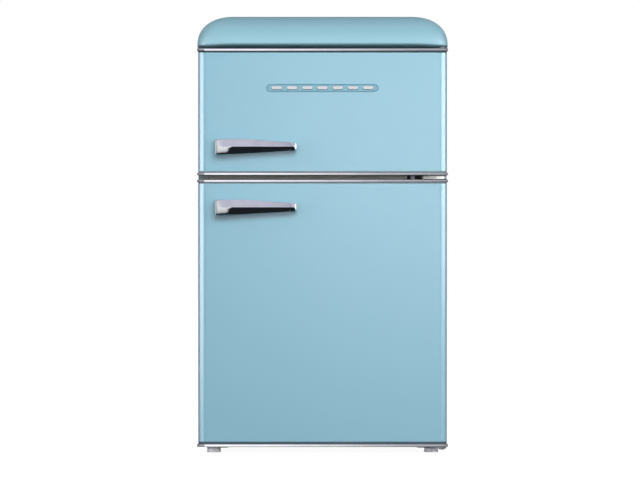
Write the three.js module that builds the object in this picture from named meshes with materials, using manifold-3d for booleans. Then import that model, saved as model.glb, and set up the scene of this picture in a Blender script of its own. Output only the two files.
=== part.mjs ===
// A retro compact refrigerator with two doors: a freezer above and a fresh-food compartment below.
// Millimetres, +Z up, front towards -Y, origin on the floor under the middle of the object's box.

import * as THREE from "three";
import { mergeVertices } from "three/addons/utils/BufferGeometryUtils.js";
import Module from "manifold-3d";

const wasm = await Module();
wasm.setup();

// ------------------------------------------------------------------ driving dimensions

const GAP = 0.3; // clearance between pieces that touch
const HALF_WIDTH = 239.5; // doors and cabinet
const SHEET = 1.2; // steel sheet
const LINER = 2; // moulded inner walls

const CABINET = { bottom: 12, top: 780, front: -181, back: 243, flange: 21.5 };
const CAP = { half: 241.5, bottom: 781, top: 841, front: -242, back: 243, wall: 3.5, floor: 787 };
const CAP_CURVE = {
  sideRun: 73,
  sideDrop: 57,
  sideFullness: 2.3,
  frontRun: 60,
  frontDrop: 50,
  frontFullness: 2,
  corner: 25,
};

const SPACE = { half: 194, back: 193, corner: 18 }; // both compartments
const FREEZER = { bottom: 556, top: 728, flangeBottom: 553.3, flangeTop: 758.7 };
const FRIDGE = { bottom: 52, top: 505, flangeBottom: 32.3, flangeTop: 507.7 };
const HUMP = { front: 62, top: 225 }; // step in the fridge liner over the compressor
const MACHINE = { front: 95, top: 190 }; // compressor compartment
const RAIL = { half: 217.7, mullion: [508, 553], base: [12, 32] };

const DOOR = { front: -238, back: -193.3, edgeRadius: 15, skin: 1, beadOut: 2 };
const DOOR_LINER = { front: -193, back: -191, ringBack: -163, ringHalf: 184, ringWidth: 19 };
const GASKET = { front: -190.7, back: -181.3, half: 229, width: 16 };
const FREEZER_DOOR = {
  name: "freezer_door",
  bottom: 535,
  top: 779.5,
  bottomTrim: 7.5,
  topTrim: 8.5,
  gasket: [537.5, 776],
  ring: [566, 720],
};
const FRIDGE_DOOR = {
  name: "fridge_door",
  bottom: 12,
  top: 526.5,
  bottomTrim: 10,
  topTrim: 7.5,
  gasket: [16, 524],
  ring: [62, 496],
};
const HINGE = { x: 229.5, y: -216, pin: 4, bore: 4.5, pocket: 5.5 };

const HANDLE = { left: -199.5, right: -56.5, reach: -274, thickness: 15, leftHalf: 14.8, rightHalf: 7.7 };
const FREEZER_HANDLE_Z = 589.5;
const FRIDGE_HANDLE_Z = 473;
const BADGE = { half: 108, height: 15, z: 703, thickness: 2.2 };

const SHELF = { half: 191, front: -90, back: 189, thickness: 4, ledge: 8 };
const SHELF_LEVELS = { upper: 408, lower: 318, crisperCover: 228 };
const FREEZER_SHELF_Z = 640;
const CRISPER = { half: 182, front: -93, back: 58, bottom: 54.3, top: 200, wall: 2.5 };
const BIN = { half: 164.5, wall: 2.5, corner: 12 };

const FOOT = { radius: 14, padTop: 11.4, stud: 4, studTop: 30, front: [210, -150], rear: [200, 200] };
const COMPRESSOR = { x: -60, y: 168, rx: 85, ry: 60, base: 28, top: 165 };
const SUCTION = { x: 100, y: 218, radius: 3 };
const CONDENSER = { half: 190, y: 268.6, tube: 2.4, bottom: 215, pitch: 52, passes: 11, rodY: 272.4, rod: 1.6 };

// ------------------------------------------------------------------ finishes

const finish = (color, roughness, metalness) =>
  new THREE.MeshStandardMaterial({ color, roughness, metalness });

const PAINT = finish(0x96bed0, 0.25, 0);
const CHROME = finish(0xd8d9da, 0.08, 1);
const STEEL = finish(0xa9abad, 0.35, 1);
const BLACK_METAL = finish(0x1b1c1e, 0.45, 0.3);
const WHITE_PLASTIC = finish(0xf2f3f1, 0.4, 0);
const GREY_PLASTIC = finish(0x8c8f92, 0.5, 0);
const CLEAR_PLASTIC = finish(0xdfeaee, 0.15, 0);
const GLASS = finish(0xd7e9e4, 0.05, 0);
const FOAM = finish(0xe8d9a8, 0.9, 0);
const RUBBER = finish(0xb9bbbc, 0.7, 0);
const COPPER = finish(0xb87345, 0.3, 1);

// ------------------------------------------------------------------ solids

/** A closed three.js geometry as a solid that can be joined and cut. */
function solid(geometry) {
  const bare = geometry.clone();
  bare.deleteAttribute("normal");
  bare.deleteAttribute("uv");
  const merged = mergeVertices(bare, 1e-3);
  const corners = merged.index.array;
  const triangles = [];
  for (let i = 0; i < corners.length; i += 3) {
    const [a, b, c] = corners.slice(i, i + 3);
    if (a !== b && b !== c && c !== a) triangles.push(a, b, c);
  }
  return new wasm.Manifold(
    new wasm.Mesh({
      numProp: 3,
      vertProperties: merged.attributes.position.array,
      triVerts: new Uint32Array(triangles),
    }),
  );
}

const join = (...solids) => solids.flat().reduce((whole, next) => whole.add(next));
const cut = (base, ...tools) => tools.flat().reduce((rest, tool) => rest.subtract(tool), base);

/** A box from its ranges along x, y and z. */
function block([x0, x1], [y0, y1], [z0, z1]) {
  const geometry = new THREE.BoxGeometry(x1 - x0, y1 - y0, z1 - z0);
  return solid(geometry.translate((x0 + x1) / 2, (y0 + y1) / 2, (z0 + z1) / 2));
}

/** A cylinder, or a cone when endRadius is given, between two points. */
function cylinder(from, to, radius, sides = 20, endRadius = radius) {
  const start = new THREE.Vector3(...from);
  const span = new THREE.Vector3(...to).sub(start);
  const geometry = new THREE.CylinderGeometry(endRadius, radius, span.length(), sides);
  const turn = new THREE.Quaternion().setFromUnitVectors(
    new THREE.Vector3(0, 1, 0),
    span.clone().normalize(),
  );
  geometry.applyQuaternion(turn);
  const middle = start.addScaledVector(span, 0.5);
  return solid(geometry.translate(middle.x, middle.y, middle.z));
}

/** The points of an arc that rounds the corner between two straight runs. */
function roundedCorner(before, corner, after, radius, steps) {
  const back = before.clone().sub(corner).normalize();
  const on = after.clone().sub(corner).normalize();
  const half = back.angleTo(on) / 2;
  const centre = back.clone().add(on).setLength(radius / Math.sin(half)).add(corner);
  const start = corner.clone().addScaledVector(back, radius / Math.tan(half)).sub(centre);
  const end = corner.clone().addScaledVector(on, radius / Math.tan(half)).sub(centre);
  const turn = start.angleTo(end);
  const across = end.clone().addScaledVector(start, -Math.cos(turn)).setLength(radius);
  return Array.from({ length: steps + 1 }, (_, step) => {
    const angle = (turn * step) / steps;
    return centre
      .clone()
      .addScaledVector(start, Math.cos(angle))
      .addScaledVector(across, Math.sin(angle));
  });
}

/** A closed outline through [u, v, radius] corners. */
function outline(corners, steps = 4) {
  const places = corners.map(([u, v]) => new THREE.Vector3(u, v, 0));
  const points = places.flatMap((place, i) => {
    const radius = corners[i][2] ?? 0;
    if (radius === 0) return [place];
    const before = places.at(i - 1);
    const after = places[(i + 1) % places.length];
    return roundedCorner(before, place, after, radius, steps);
  });
  return new THREE.Shape(points.map((point) => new THREE.Vector2(point.x, point.y)));
}

/** A rectangle with one radius on all its corners. */
const roundedRectangle = ([u0, u1], [v0, v1], radius = 0, steps = 4) =>
  outline([[u0, v0, radius], [u1, v0, radius], [u1, v1, radius], [u0, v1, radius]], steps);

// Where an outline's two directions and its depth point, for an extrusion along each axis.
const EXTRUSION_AXES = {
  x: [[0, 1, 0], [0, 0, 1], [1, 0, 0]],
  y: [[1, 0, 0], [0, 0, 1], [0, -1, 0]],
  z: [[1, 0, 0], [0, 1, 0], [0, 0, 1]],
};

/** An outline extruded along x (outline in y, z), y (in x, z) or z (in x, y). */
function prism(shape, axis, [from, to], bevel = { bevelEnabled: false }) {
  const rim = bevel.bevelThickness ?? 0;
  const depth = to - from - 2 * rim;
  const geometry = new THREE.ExtrudeGeometry(shape, { depth, ...bevel });
  const directions = EXTRUSION_AXES[axis].map((direction) => new THREE.Vector3(...direction));
  geometry.applyMatrix4(new THREE.Matrix4().makeBasis(...directions));
  const start = axis === "y" ? to - rim : from + rim;
  return solid(geometry.translate(...["x", "y", "z"].map((name) => (name === axis ? start : 0))));
}

/** A profile of [radius, z] points turned about the z axis. */
function turned(profile, sides = 20) {
  const points = profile.map(([radius, z]) => new THREE.Vector2(radius, z));
  return solid(new THREE.LatheGeometry(points, sides).rotateX(Math.PI / 2));
}

/** Rings of equally many points joined into one closed surface. */
function loft(rings) {
  const count = rings[0].length;
  const last = (rings.length - 1) * count;
  const index = [];
  for (let start = 0; start < last; start += count) {
    for (let i = 0; i < count; i += 1) {
      const j = (i + 1) % count;
      index.push(start + i, start + j, start + count + j);
      index.push(start + i, start + count + j, start + count + i);
    }
  }
  for (let i = 1; i < count - 1; i += 1) {
    index.push(0, i + 1, i);
    index.push(last, last + i, last + i + 1);
  }
  const geometry = new THREE.BufferGeometry().setFromPoints(rings.flat());
  return solid(geometry.setIndex(index));
}

/** The directions of travel at each point of a path. */
function headings(points) {
  return points.map((point, i) => {
    const arriving = point.clone().sub(points[Math.max(i - 1, 0)]).normalize();
    const leaving = points[Math.min(i + 1, points.length - 1)].clone().sub(point).normalize();
    return arriving.add(leaving).normalize();
  });
}

/** A round tube along a path of [x, y, z] corners, bent to one radius at each inner corner. */
function tube(corners, radius, bend, sides = 6) {
  const places = corners.map((corner) => new THREE.Vector3(...corner));
  const points = places.flatMap((place, i) => {
    if (i === 0 || i === places.length - 1) return [place];
    return roundedCorner(places[i - 1], place, places[i + 1], bend, 3);
  });
  const side = new THREE.Vector3();
  const rings = headings(points).map((heading, i) => {
    if (i === 0) side.set(0.3, 0.5, 0.8);
    side.addScaledVector(heading, -side.dot(heading)).normalize();
    const across = heading.clone().cross(side);
    return Array.from({ length: sides }, (_, k) => {
      const angle = (2 * Math.PI * k) / sides;
      return points[i]
        .clone()
        .addScaledVector(side, radius * Math.cos(angle))
        .addScaledVector(across, radius * Math.sin(angle));
    });
  });
  return loft(rings);
}

/** A named piece made from a solid. */
function piece(name, material, made) {
  const { vertProperties, triVerts } = made.getMesh();
  const geometry = new THREE.BufferGeometry();
  geometry.setAttribute("position", new THREE.BufferAttribute(vertProperties, 3));
  geometry.setIndex(new THREE.BufferAttribute(triVerts, 1));
  geometry.computeVertexNormals();
  const mesh = new THREE.Mesh(geometry, material);
  mesh.name = name;
  return mesh;
}

function group(...children) {
  const made = new THREE.Group();
  made.add(...children.flat());
  return made;
}

const between = (low, high) => [low + GAP, high - GAP];
const mirrored = (half) => [-half, half];

// ------------------------------------------------------------------ cabinet shell

/** An inverted U in x, z: two legs and a bridge. */
function arch(outerHalf, innerHalf, bottom, outerTop, innerTop) {
  return outline([
    [-outerHalf, bottom],
    [-innerHalf, bottom],
    [-innerHalf, innerTop],
    [innerHalf, innerTop],
    [innerHalf, bottom],
    [outerHalf, bottom],
    [outerHalf, outerTop],
    [-outerHalf, outerTop],
  ]);
}

function outerWrapper() {
  const { bottom, top, front, back, flange } = CABINET;
  const walls = arch(HALF_WIDTH, HALF_WIDTH - SHEET, bottom, top, top - SHEET);
  const face = arch(HALF_WIDTH, HALF_WIDTH - flange, bottom, top, top - flange + 0.5);
  return piece(
    "outer_wrapper",
    PAINT,
    join(prism(walls, "y", [front, back]), prism(face, "y", [front, front + SHEET])),
  );
}

function backPanel() {
  const half = HALF_WIDTH - SHEET - GAP;
  const heights = [MACHINE.top - 4, CABINET.top - SHEET - GAP];
  return piece(
    "back_panel",
    STEEL,
    block(mirrored(half), [CABINET.back - 1.5, CABINET.back], heights),
  );
}

/** The stepped sheet under the foam: floor, compartment wall and compartment roof. */
function basePan() {
  const floor = CABINET.bottom;
  const frontEdge = CABINET.front + SHEET + GAP;
  const backEdge = CABINET.back - 1.5 - GAP;
  const { front: wall, top: roof } = MACHINE;
  const profile = outline([
    [frontEdge, floor],
    [wall + SHEET, floor],
    [wall + SHEET, roof - SHEET],
    [backEdge, roof - SHEET],
    [backEdge, roof],
    [wall, roof],
    [wall, floor + SHEET],
    [frontEdge, floor + SHEET],
  ]);
  const pan = prism(profile, "x", mirrored(HALF_WIDTH - SHEET - GAP));
  const [footX, footY] = FOOT.front;
  const holes = [-footX, footX].map((x) =>
    cylinder([x, footY, floor - 2], [x, footY, floor + 4], FOOT.stud + 1),
  );
  const { x, y } = SUCTION;
  holes.push(cylinder([x, y, roof - 4], [x, y, roof + 2], SUCTION.radius + 2));
  return piece("base_pan", STEEL, cut(pan, holes));
}

function compressorTray() {
  const half = HALF_WIDTH - SHEET - 0.8;
  const front = MACHINE.front + SHEET + 0.8;
  const { bottom: z, back } = CABINET;
  const plate = block(mirrored(half), [front, back], [z, z + 2]);
  const lip = block(mirrored(half), [front, front + 2], [z, z + 18]);
  const tab = block([150, 190], [back - 4, back - 2], [z, z + 38]);
  const glandHole = cylinder([170, back - 10, 34], [170, back + 10, 34], 7);
  return piece("compressor_tray", STEEL, cut(join(plate, lip, tab), glandHole));
}

function rail(name, [low, high]) {
  const depth = [CABINET.front, CABINET.front + SHEET];
  return piece(name, STEEL, block(mirrored(RAIL.half), depth, [low, high]));
}

// ------------------------------------------------------------------ compartments

/** The room inside the freezer liner, grown outwards by a wall's thickness. */
function freezerRoom(grow, front = CABINET.front) {
  const shape = roundedRectangle(
    mirrored(SPACE.half + grow),
    [FREEZER.bottom - grow, FREEZER.top + grow],
    SPACE.corner + grow,
  );
  return prism(shape, "y", [front, SPACE.back + grow]);
}

/** The room inside the fridge liner, with its hump over the compressor. */
function fridgeRoom(grow, front = CABINET.front) {
  const heights = [FRIDGE.bottom - grow, FRIDGE.top + grow];
  const half = SPACE.half + grow;
  const mouth = roundedRectangle(mirrored(half), heights, SPACE.corner + grow);
  const sideways = outline([
    [front, heights[0]],
    [HUMP.front + grow, heights[0]],
    [HUMP.front + grow, HUMP.top - grow],
    [SPACE.back + grow, HUMP.top - grow],
    [SPACE.back + grow, heights[1]],
    [front, heights[1]],
  ]);
  return prism(mouth, "y", [front, SPACE.back + grow]).intersect(
    prism(sideways, "x", mirrored(half)),
  );
}

/** The two ledges on the side walls that a shelf rests on. */
function ledges(shelfBottom, back) {
  return [-1, 1].map((side) => {
    const inner = SPACE.half - SHELF.ledge;
    const across = [side * inner, side * (SPACE.half + 1)].sort((a, b) => a - b);
    return block(across, [SHELF.front, back], [shelfBottom - 6, shelfBottom - GAP]);
  });
}

function liner(name, room, space, shelfLedges) {
  const flange = block(
    mirrored(RAIL.half),
    [CABINET.front, CABINET.front + LINER],
    [space.flangeBottom, space.flangeTop],
  );
  const shell = cut(join(room(LINER), flange), room(0, CABINET.front - 1));
  return piece(name, WHITE_PLASTIC, join(shell, shelfLedges));
}

function cabinetFoam() {
  const front = CABINET.front + LINER + GAP;
  const back = CABINET.back - 1.5 - GAP;
  const top = CABINET.top - SHEET - GAP;
  const floor = CABINET.bottom + SHEET + GAP;
  const body = prism(
    outline([
      [front, floor],
      [MACHINE.front - GAP, floor],
      [MACHINE.front - GAP, MACHINE.top + GAP],
      [back, MACHINE.top + GAP],
      [back, top],
      [front, top],
    ]),
    "x",
    mirrored(HALF_WIDTH - SHEET - GAP),
  );
  const { x, y } = SUCTION;
  const coilPocket = block(mirrored(204), [-140, 200], [FREEZER.bottom - 10.5, FREEZER.top + 10.5]);
  const tailChannel = block([x - 5, x + 5], [SPACE.back, y + 5], [FREEZER.bottom - 24, FREEZER.bottom - 1]);
  const tailBore = cylinder([x, y, MACHINE.top - 2], [x, y, FREEZER.bottom - 5], 5, 12);
  const [footX, footY] = FOOT.front;
  const studPockets = [-footX, footX].map((side) =>
    cylinder([side, footY, 0], [side, footY, FOOT.studTop + 4], FOOT.stud + 2, 12),
  );
  const cuts = [freezerRoom(LINER + GAP, front - 1), fridgeRoom(LINER + GAP, front - 1)];
  return piece(
    "cabinet_foam",
    FOAM,
    cut(body, cuts, coilPocket, tailChannel, tailBore, studPockets),
  );
}

function glassShelf(name, z, material = GLASS) {
  const plan = outline([
    [-SHELF.half, SHELF.back],
    [-SHELF.half, SHELF.front, 8],
    [SHELF.half, SHELF.front, 8],
    [SHELF.half, SHELF.back],
  ]);
  return piece(name, material, prism(plan, "z", [z, z + SHELF.thickness]));
}

function freezerShelf() {
  const half = SHELF.half;
  const z = FREEZER_SHELF_Z;
  const [front, back] = [SHELF.front, SHELF.back - 5];
  const rails = [front, back].map((y) => cylinder([-half, y, z], [half, y, z], 2.5, 8));
  const wires = Array.from({ length: 13 }, (_, i) => {
    const x = (i - 6) * 30;
    return cylinder([x, front, z + 1], [x, back, z + 1], 1.6, 6);
  });
  return piece("freezer_shelf", CHROME, join(rails, wires));
}

function crisperDrawer() {
  const { half, front, back, bottom, top, wall } = CRISPER;
  const shell = prism(roundedRectangle(mirrored(half), [front, back], 10), "z", [bottom, top]);
  const inside = roundedRectangle(mirrored(half - wall), [front + wall, back - wall], 10 - wall);
  const grip = prism(roundedRectangle(mirrored(70), [top - 16, top], 5), "y", [front - 5.5, front + 1]);
  const hollow = prism(inside, "z", [bottom + wall, top + 1]);
  return piece("crisper_drawer", CLEAR_PLASTIC, cut(join(shell, grip), hollow));
}

// ------------------------------------------------------------------ thermostat and lamp

const CONTROL = {
  left: 165,
  right: SPACE.half - GAP,
  front: -152,
  back: 60,
  bottom: 416,
  top: 486,
  knob: { y: -62, z: 451, radius: 17, length: 13 },
  lens: { y: [-28, 46], z: [426, 476], out: 11 },
  plunger: { x: 178, z: 462, radius: 3.5, tip: DOOR_LINER.ringBack + GAP, tail: -130 },
};

function thermostatHousing() {
  const { left, right, front, back, bottom, top, knob, plunger } = CONTROL;
  const body = prism(roundedRectangle([front, back], [bottom, top], 8), "x", [left, right]);
  const { y, z } = knob;
  const shaftHole = cylinder([left - 1, y, z], [left + 12, y, z], 3.5);
  const plungerHole = cylinder(
    [plunger.x, front - 1, plunger.z],
    [plunger.x, plunger.tail + 6, plunger.z],
    plunger.radius + 0.5,
  );
  return piece("thermostat_housing", WHITE_PLASTIC, cut(body, shaftHole, plungerHole));
}

function lampLens() {
  const { y, z, out } = CONTROL.lens;
  const shape = roundedRectangle([y[0] + 2, y[1] - 2], [z[0] + 2, z[1] - 2], 8);
  const bevel = { bevelThickness: 2, bevelSize: 2, bevelSegments: 2 };
  const across = [CONTROL.left - out, CONTROL.left - GAP];
  return piece("lamp_lens", CLEAR_PLASTIC, prism(shape, "x", across, bevel));
}

function thermostatKnob() {
  const { y, z, radius, length } = CONTROL.knob;
  const { left } = CONTROL;
  const disc = cylinder([left - GAP, y, z], [left - 5, y, z], radius, 28);
  const grip = prism(
    roundedRectangle([y - 4.5, y + 4.5], mirrored(radius - 2).map((side) => z + side), 3),
    "x",
    [left - length, left - 4],
  );
  const shaft = cylinder([left - 2, y, z], [left + 10, y, z], 3);
  return piece("thermostat_knob", WHITE_PLASTIC, join(disc, grip, shaft));
}

function lightSwitchPlunger() {
  const { x, z, radius, tip, tail } = CONTROL.plunger;
  const stem = cylinder([x, tip + 2, z], [x, tail, z], radius, 14);
  const nose = cylinder([x, tip, z], [x, tip + 2, z], radius - 1.5, 14, radius);
  return piece("light_switch_plunger", WHITE_PLASTIC, join(nose, stem));
}

// ------------------------------------------------------------------ top cap

/** A quarter oval of [u, v] points about a centre, from one angle for 90 degrees on. Fullness 2 is an ellipse. */
function quarter(centreU, centreV, runU, runV, from, fullness, steps = 6) {
  const swell = (part) => Math.sign(part) * Math.abs(part) ** (2 / fullness);
  return Array.from({ length: steps + 1 }, (_, step) => {
    const angle = from + (Math.PI / 2) * (step / steps);
    return [centreU + runU * swell(Math.cos(angle)), centreV + runV * swell(Math.sin(angle))];
  });
}

/** The cap's outer form, or the form a wall's thickness inside it. */
function capForm(inset, bottom) {
  const half = CAP.half - inset;
  const top = CAP.top - inset;
  const front = CAP.front + inset;
  const back = CAP.back - inset;
  const sideRun = CAP_CURVE.sideRun - inset;
  const sideDrop = CAP_CURVE.sideDrop - inset;
  const frontRun = CAP_CURVE.frontRun - inset;
  const frontDrop = CAP_CURVE.frontDrop - inset;
  const { sideFullness, frontFullness } = CAP_CURVE;
  const across = outline([
    [-half + 2, bottom],
    [half - 2, bottom],
    [half, bottom + 2.5],
    ...quarter(half - sideRun, top - sideDrop, sideRun, sideDrop, 0, sideFullness),
    ...quarter(-half + sideRun, top - sideDrop, sideRun, sideDrop, Math.PI / 2, sideFullness),
    [-half, bottom + 2.5],
  ]);
  const along = outline([
    [front + 10, bottom],
    [back, bottom],
    [back, top, 10],
    ...quarter(front + frontRun, top - frontDrop, frontRun, frontDrop, Math.PI / 2, frontFullness),
    [front, bottom + 8],
    [front + 3, bottom + 3],
  ]);
  const plan = outline([
    [-half, front, CAP_CURVE.corner - inset],
    [half, front, CAP_CURVE.corner - inset],
    [half, back],
    [-half, back],
  ]);
  return prism(across, "y", [front, back])
    .intersect(prism(along, "x", mirrored(half)))
    .intersect(prism(plan, "z", [bottom, top]));
}

/** A moulded shell, open below over the cabinet and floored where it overhangs the door. */
function topCap() {
  const { half, bottom, top, front, back, wall, floor } = CAP;
  const overCabinet = CABINET.front + 3;
  const rooms = join(
    block(mirrored(half), [overCabinet, back], [bottom - 10, top]),
    block(mirrored(half), [front, overCabinet + 1], [floor + wall, top]),
  );
  const hollow = capForm(wall, bottom - 10).intersect(rooms);
  const recess = block(mirrored(half - wall - 2), [front + 12, overCabinet + 1], [bottom - 10, floor]);
  const shell = cut(capForm(0, bottom), hollow, recess);
  const ribs = [-120, 40, 190].map((y) =>
    block(mirrored(half - wall - 3), [y, y + 3], [CABINET.top + GAP, bottom + 8]),
  );
  const ribRoots = [-120, 40, 190].map((y) =>
    block([half - wall - 20, half - 1], [y, y + 3], [bottom + 1, bottom + 8]),
  );
  const leftRoots = ribRoots.map((root) => root.mirror([1, 0, 0]));
  return piece("top_cap", PAINT, join(shell, ribs, ribRoots, leftRoots));
}

// ------------------------------------------------------------------ doors

/** A door's plan, set in from its painted faces, with round front edges. */
function doorPlan(inset, back) {
  const half = HALF_WIDTH - inset;
  const front = DOOR.front + inset;
  const radius = DOOR.edgeRadius - inset;
  return outline([[-half, back], [-half, front, radius], [half, front, radius], [half, back]], 5);
}

const hingeBore = (radius, [low, high]) =>
  cylinder([HINGE.x, HINGE.y, low], [HINGE.x, HINGE.y, high], radius, 16);

/** The ranges of height that a door's painted panel takes. */
const panelOf = (door) => [door.bottom + door.bottomTrim, door.top - door.topTrim];

/** A folded sheet: front, two sides and a hem behind. */
function doorSkin(door) {
  const heights = between(...panelOf(door));
  const beyond = [heights[0] - 1, heights[1] + 1];
  const outer = prism(doorPlan(0, DOOR.back), "z", heights);
  const inner = prism(doorPlan(DOOR.skin, DOOR.back - DOOR.skin), "z", beyond);
  const opening = block(mirrored(HALF_WIDTH - 8.5), [DOOR.back - 3, DOOR.back + 1], beyond);
  return piece(`${door.name}_skin`, PAINT, cut(outer, inner, opening));
}

function doorFoam(door) {
  const heights = between(...panelOf(door));
  const body = prism(doorPlan(DOOR.skin + GAP, DOOR.back - DOOR.skin - GAP), "z", heights);
  const pockets = [
    hingeBore(HINGE.pocket, [heights[0] - 1, heights[0] + 12]),
    hingeBore(HINGE.pocket, [heights[1] - 12, heights[1] + 1]),
  ];
  return piece(`${door.name}_foam`, FOAM, cut(body, pockets));
}

/** A half-round bead all round the top or bottom of a door. */
function doorTrim(door, place, [low, high]) {
  const rise = (high - low - 1) / 2;
  const bevelSize = 2.5;
  const inset = bevelSize - DOOR.beadOut;
  const bevel = { bevelThickness: rise, bevelSize, bevelSegments: 3 };
  const bead = prism(doorPlan(inset, DOOR.back - GAP - bevelSize), "z", [low, high], bevel);
  const name = `${door.name}_${place}_trim`;
  return piece(name, CHROME, cut(bead, hingeBore(HINGE.bore, [low - 1, high + 1])));
}

/** The inner face of a door: a plate with a raised ring that the bins hang inside. */
function doorLiner(door) {
  const { front, back, ringBack, ringHalf, ringWidth } = DOOR_LINER;
  const heights = [door.bottom + 0.5, door.top - 0.5];
  const plate = block(mirrored(HALF_WIDTH - 0.3), [front, back], heights);
  const [low, high] = door.ring;
  const outer = roundedRectangle(mirrored(ringHalf), [low, high], 14);
  outer.holes.push(
    roundedRectangle(
      mirrored(ringHalf - ringWidth),
      [low + ringWidth, high - ringWidth],
      10,
    ),
  );
  return piece(`${door.name}_liner`, WHITE_PLASTIC, join(plate, prism(outer, "y", [back - 0.5, ringBack])));
}

function doorGasket(door) {
  const [low, high] = door.gasket;
  const { front, back, half, width } = GASKET;
  const ring = roundedRectangle(mirrored(half), [low, high], 6);
  ring.holes.push(roundedRectangle(mirrored(half - width), [low + width, high - width], 4));
  return piece(`${door.name}_gasket`, RUBBER, prism(ring, "y", [front, back]));
}

/** A tapered bar with a raised ridge, bent back to the door at both ends. */
function doorHandle(door, z) {
  const { left, right, reach, thickness, leftHalf, rightHalf } = HANDLE;
  const bend = 9.5;
  const barY = reach + thickness / 2;
  const foot = DOOR.front - GAP;
  const corners = [
    [left, foot],
    [left, barY],
    [right, barY],
    [right, foot],
  ].map(([x, y]) => new THREE.Vector3(x, y, z));
  const path = [
    corners[0],
    ...roundedCorner(corners[0], corners[1], corners[2], bend, 5),
    ...roundedCorner(corners[1], corners[2], corners[3], bend, 5),
    corners[3],
  ];
  const section = [
    [thickness / 2, 0],
    [thickness / 2 - 4.5, -1],
    [-thickness / 2, -0.72],
    [-thickness / 2, 0.72],
    [thickness / 2 - 4.5, 1],
  ];
  const up = new THREE.Vector3(0, 0, 1);
  const rings = headings(path).map((heading, i) => {
    const outward = heading.clone().cross(up);
    const share = (path[i].x - left) / (right - left);
    const tall = leftHalf + (rightHalf - leftHalf) * share;
    return section.map(([out, rise]) =>
      path[i].clone().addScaledVector(outward, out).addScaledVector(up, rise * tall),
    );
  });
  return piece(`${door.name}_handle`, CHROME, loft(rings));
}

/** A blank name bar. */
function badgeBar() {
  const heights = [BADGE.z - BADGE.height / 2, BADGE.z + BADGE.height / 2];
  const shape = roundedRectangle(mirrored(BADGE.half), heights, BADGE.height / 2 - 0.1);
  const face = DOOR.front - GAP;
  return piece("badge_bar", CHROME, prism(shape, "y", [face - BADGE.thickness, face]));
}

/** An open bin between the sides of the door's ring, lower towards the door. */
function doorBin(name, bottom, height, reach) {
  const { half, wall, corner } = BIN;
  const [front, back] = [DOOR_LINER.back + GAP, reach];
  const top = bottom + height;
  const shell = prism(
    outline([[-half, front], [half, front], [half, back, corner], [-half, back, corner]]),
    "z",
    [bottom, top],
  );
  const room = outline([
    [-half + wall, front + wall],
    [half - wall, front + wall],
    [half - wall, back - wall, corner - wall],
    [-half + wall, back - wall, corner - wall],
  ]);
  const hollow = prism(room, "z", [bottom + wall, top + 1]);
  const lowBack = block(mirrored(half + 1), [front - 1, front + wall + 8], [bottom + height / 2, top + 1]);
  return piece(name, CLEAR_PLASTIC, cut(shell, hollow, lowBack));
}

function door(parts, handleZ, extras) {
  const panel = panelOf(parts);
  return group(
    doorSkin(parts),
    doorFoam(parts),
    doorLiner(parts),
    doorGasket(parts),
    doorTrim(parts, "bottom", [parts.bottom, panel[0]]),
    doorTrim(parts, "top", [panel[1], parts.top]),
    doorHandle(parts, handleZ),
    extras,
  );
}

// ------------------------------------------------------------------ hinges and feet

function topHinge() {
  const z = CABINET.top + GAP;
  const plan = outline([
    [205, -150, 3],
    [205, -190, 3],
    [219, -223, 6],
    [235, -223, 6],
    [235, -150, 3],
  ]);
  const pin = hingeBore(HINGE.pin, [FREEZER_DOOR.top - 11, z + 2]);
  return piece("top_hinge", STEEL, join(prism(plan, "z", [z, z + 3]), pin));
}

/** A flange on the mullion with an arm between the doors and a pin into each. */
function middleHinge() {
  const seat = CABINET.front - GAP;
  const flange = block([158, 215], [seat - 2.7, seat], [524.8, 536.7]);
  const plan = outline([
    [196, seat],
    [215, seat],
    [238, -206],
    [238, -225, 8],
    [220, -225, 8],
    [196, -196, 4],
  ]);
  const arm = prism(plan, "z", [529.2, 532.2]);
  return piece("middle_hinge", CHROME, join(flange, arm, hingeBore(HINGE.pin, [514, 548])));
}

function hingeScrew(name, x) {
  const seat = CABINET.front - 3 - GAP;
  const z = 530.75;
  const head = cylinder([x, seat, z], [x, seat - 2.6, z], 4.4, 16, 3);
  const slot = block([x - 3, x + 3], [seat - 4, seat - 1.4], [z - 0.6, z + 0.6]);
  return piece(name, BLACK_METAL, cut(head, slot));
}

/** A plate under the cabinet, notched round the levelling foot, with the lower door's pin. */
function bottomHinge() {
  const plan = outline([
    [196, -128, 3],
    [196, -190, 4],
    [218, -225, 8],
    [238, -225, 8],
    [238, -128, 4],
  ]);
  const [footX, footY] = FOOT.front;
  const notch = FOOT.radius + 1.2;
  const plate = prism(plan, "z", [8.5, 11.5]);
  const round = cylinder([footX, footY, 6], [footX, footY, 14], notch, 28);
  const open = block([footX - 20, footX], [footY - notch, footY + notch], [6, 14]);
  const pin = join(hingeBore(HINGE.pin, [7, 27]), hingeBore(HINGE.pin + 1.5, [6.5, 9]));
  return piece("bottom_hinge", STEEL, join(cut(plate, round, open), pin));
}

/** A screw-in levelling foot: a cupped pad on a threaded stud. */
function levellingFoot(name, x) {
  const profile = [
    [0, 0],
    [FOOT.radius - 1.5, 0],
    [FOOT.radius, 1.5],
    [FOOT.radius - 1, FOOT.padTop - 1],
    [FOOT.radius - 2, FOOT.padTop],
    [FOOT.stud, FOOT.padTop],
    [FOOT.stud, FOOT.studTop],
    [0, FOOT.studTop],
  ];
  const made = piece(name, GREY_PLASTIC, turned(profile));
  made.position.set(x, FOOT.front[1], 0);
  return made;
}

function rearFoot(name, x) {
  const height = CABINET.bottom - GAP;
  const profile = [[0, 0], [FOOT.radius - 1, 0], [FOOT.radius, 1.5], [FOOT.radius - 3, height], [0, height]];
  const made = piece(name, GREY_PLASTIC, turned(profile));
  made.position.set(x, FOOT.rear[1], 0);
  return made;
}

// ------------------------------------------------------------------ cooling circuit

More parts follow.
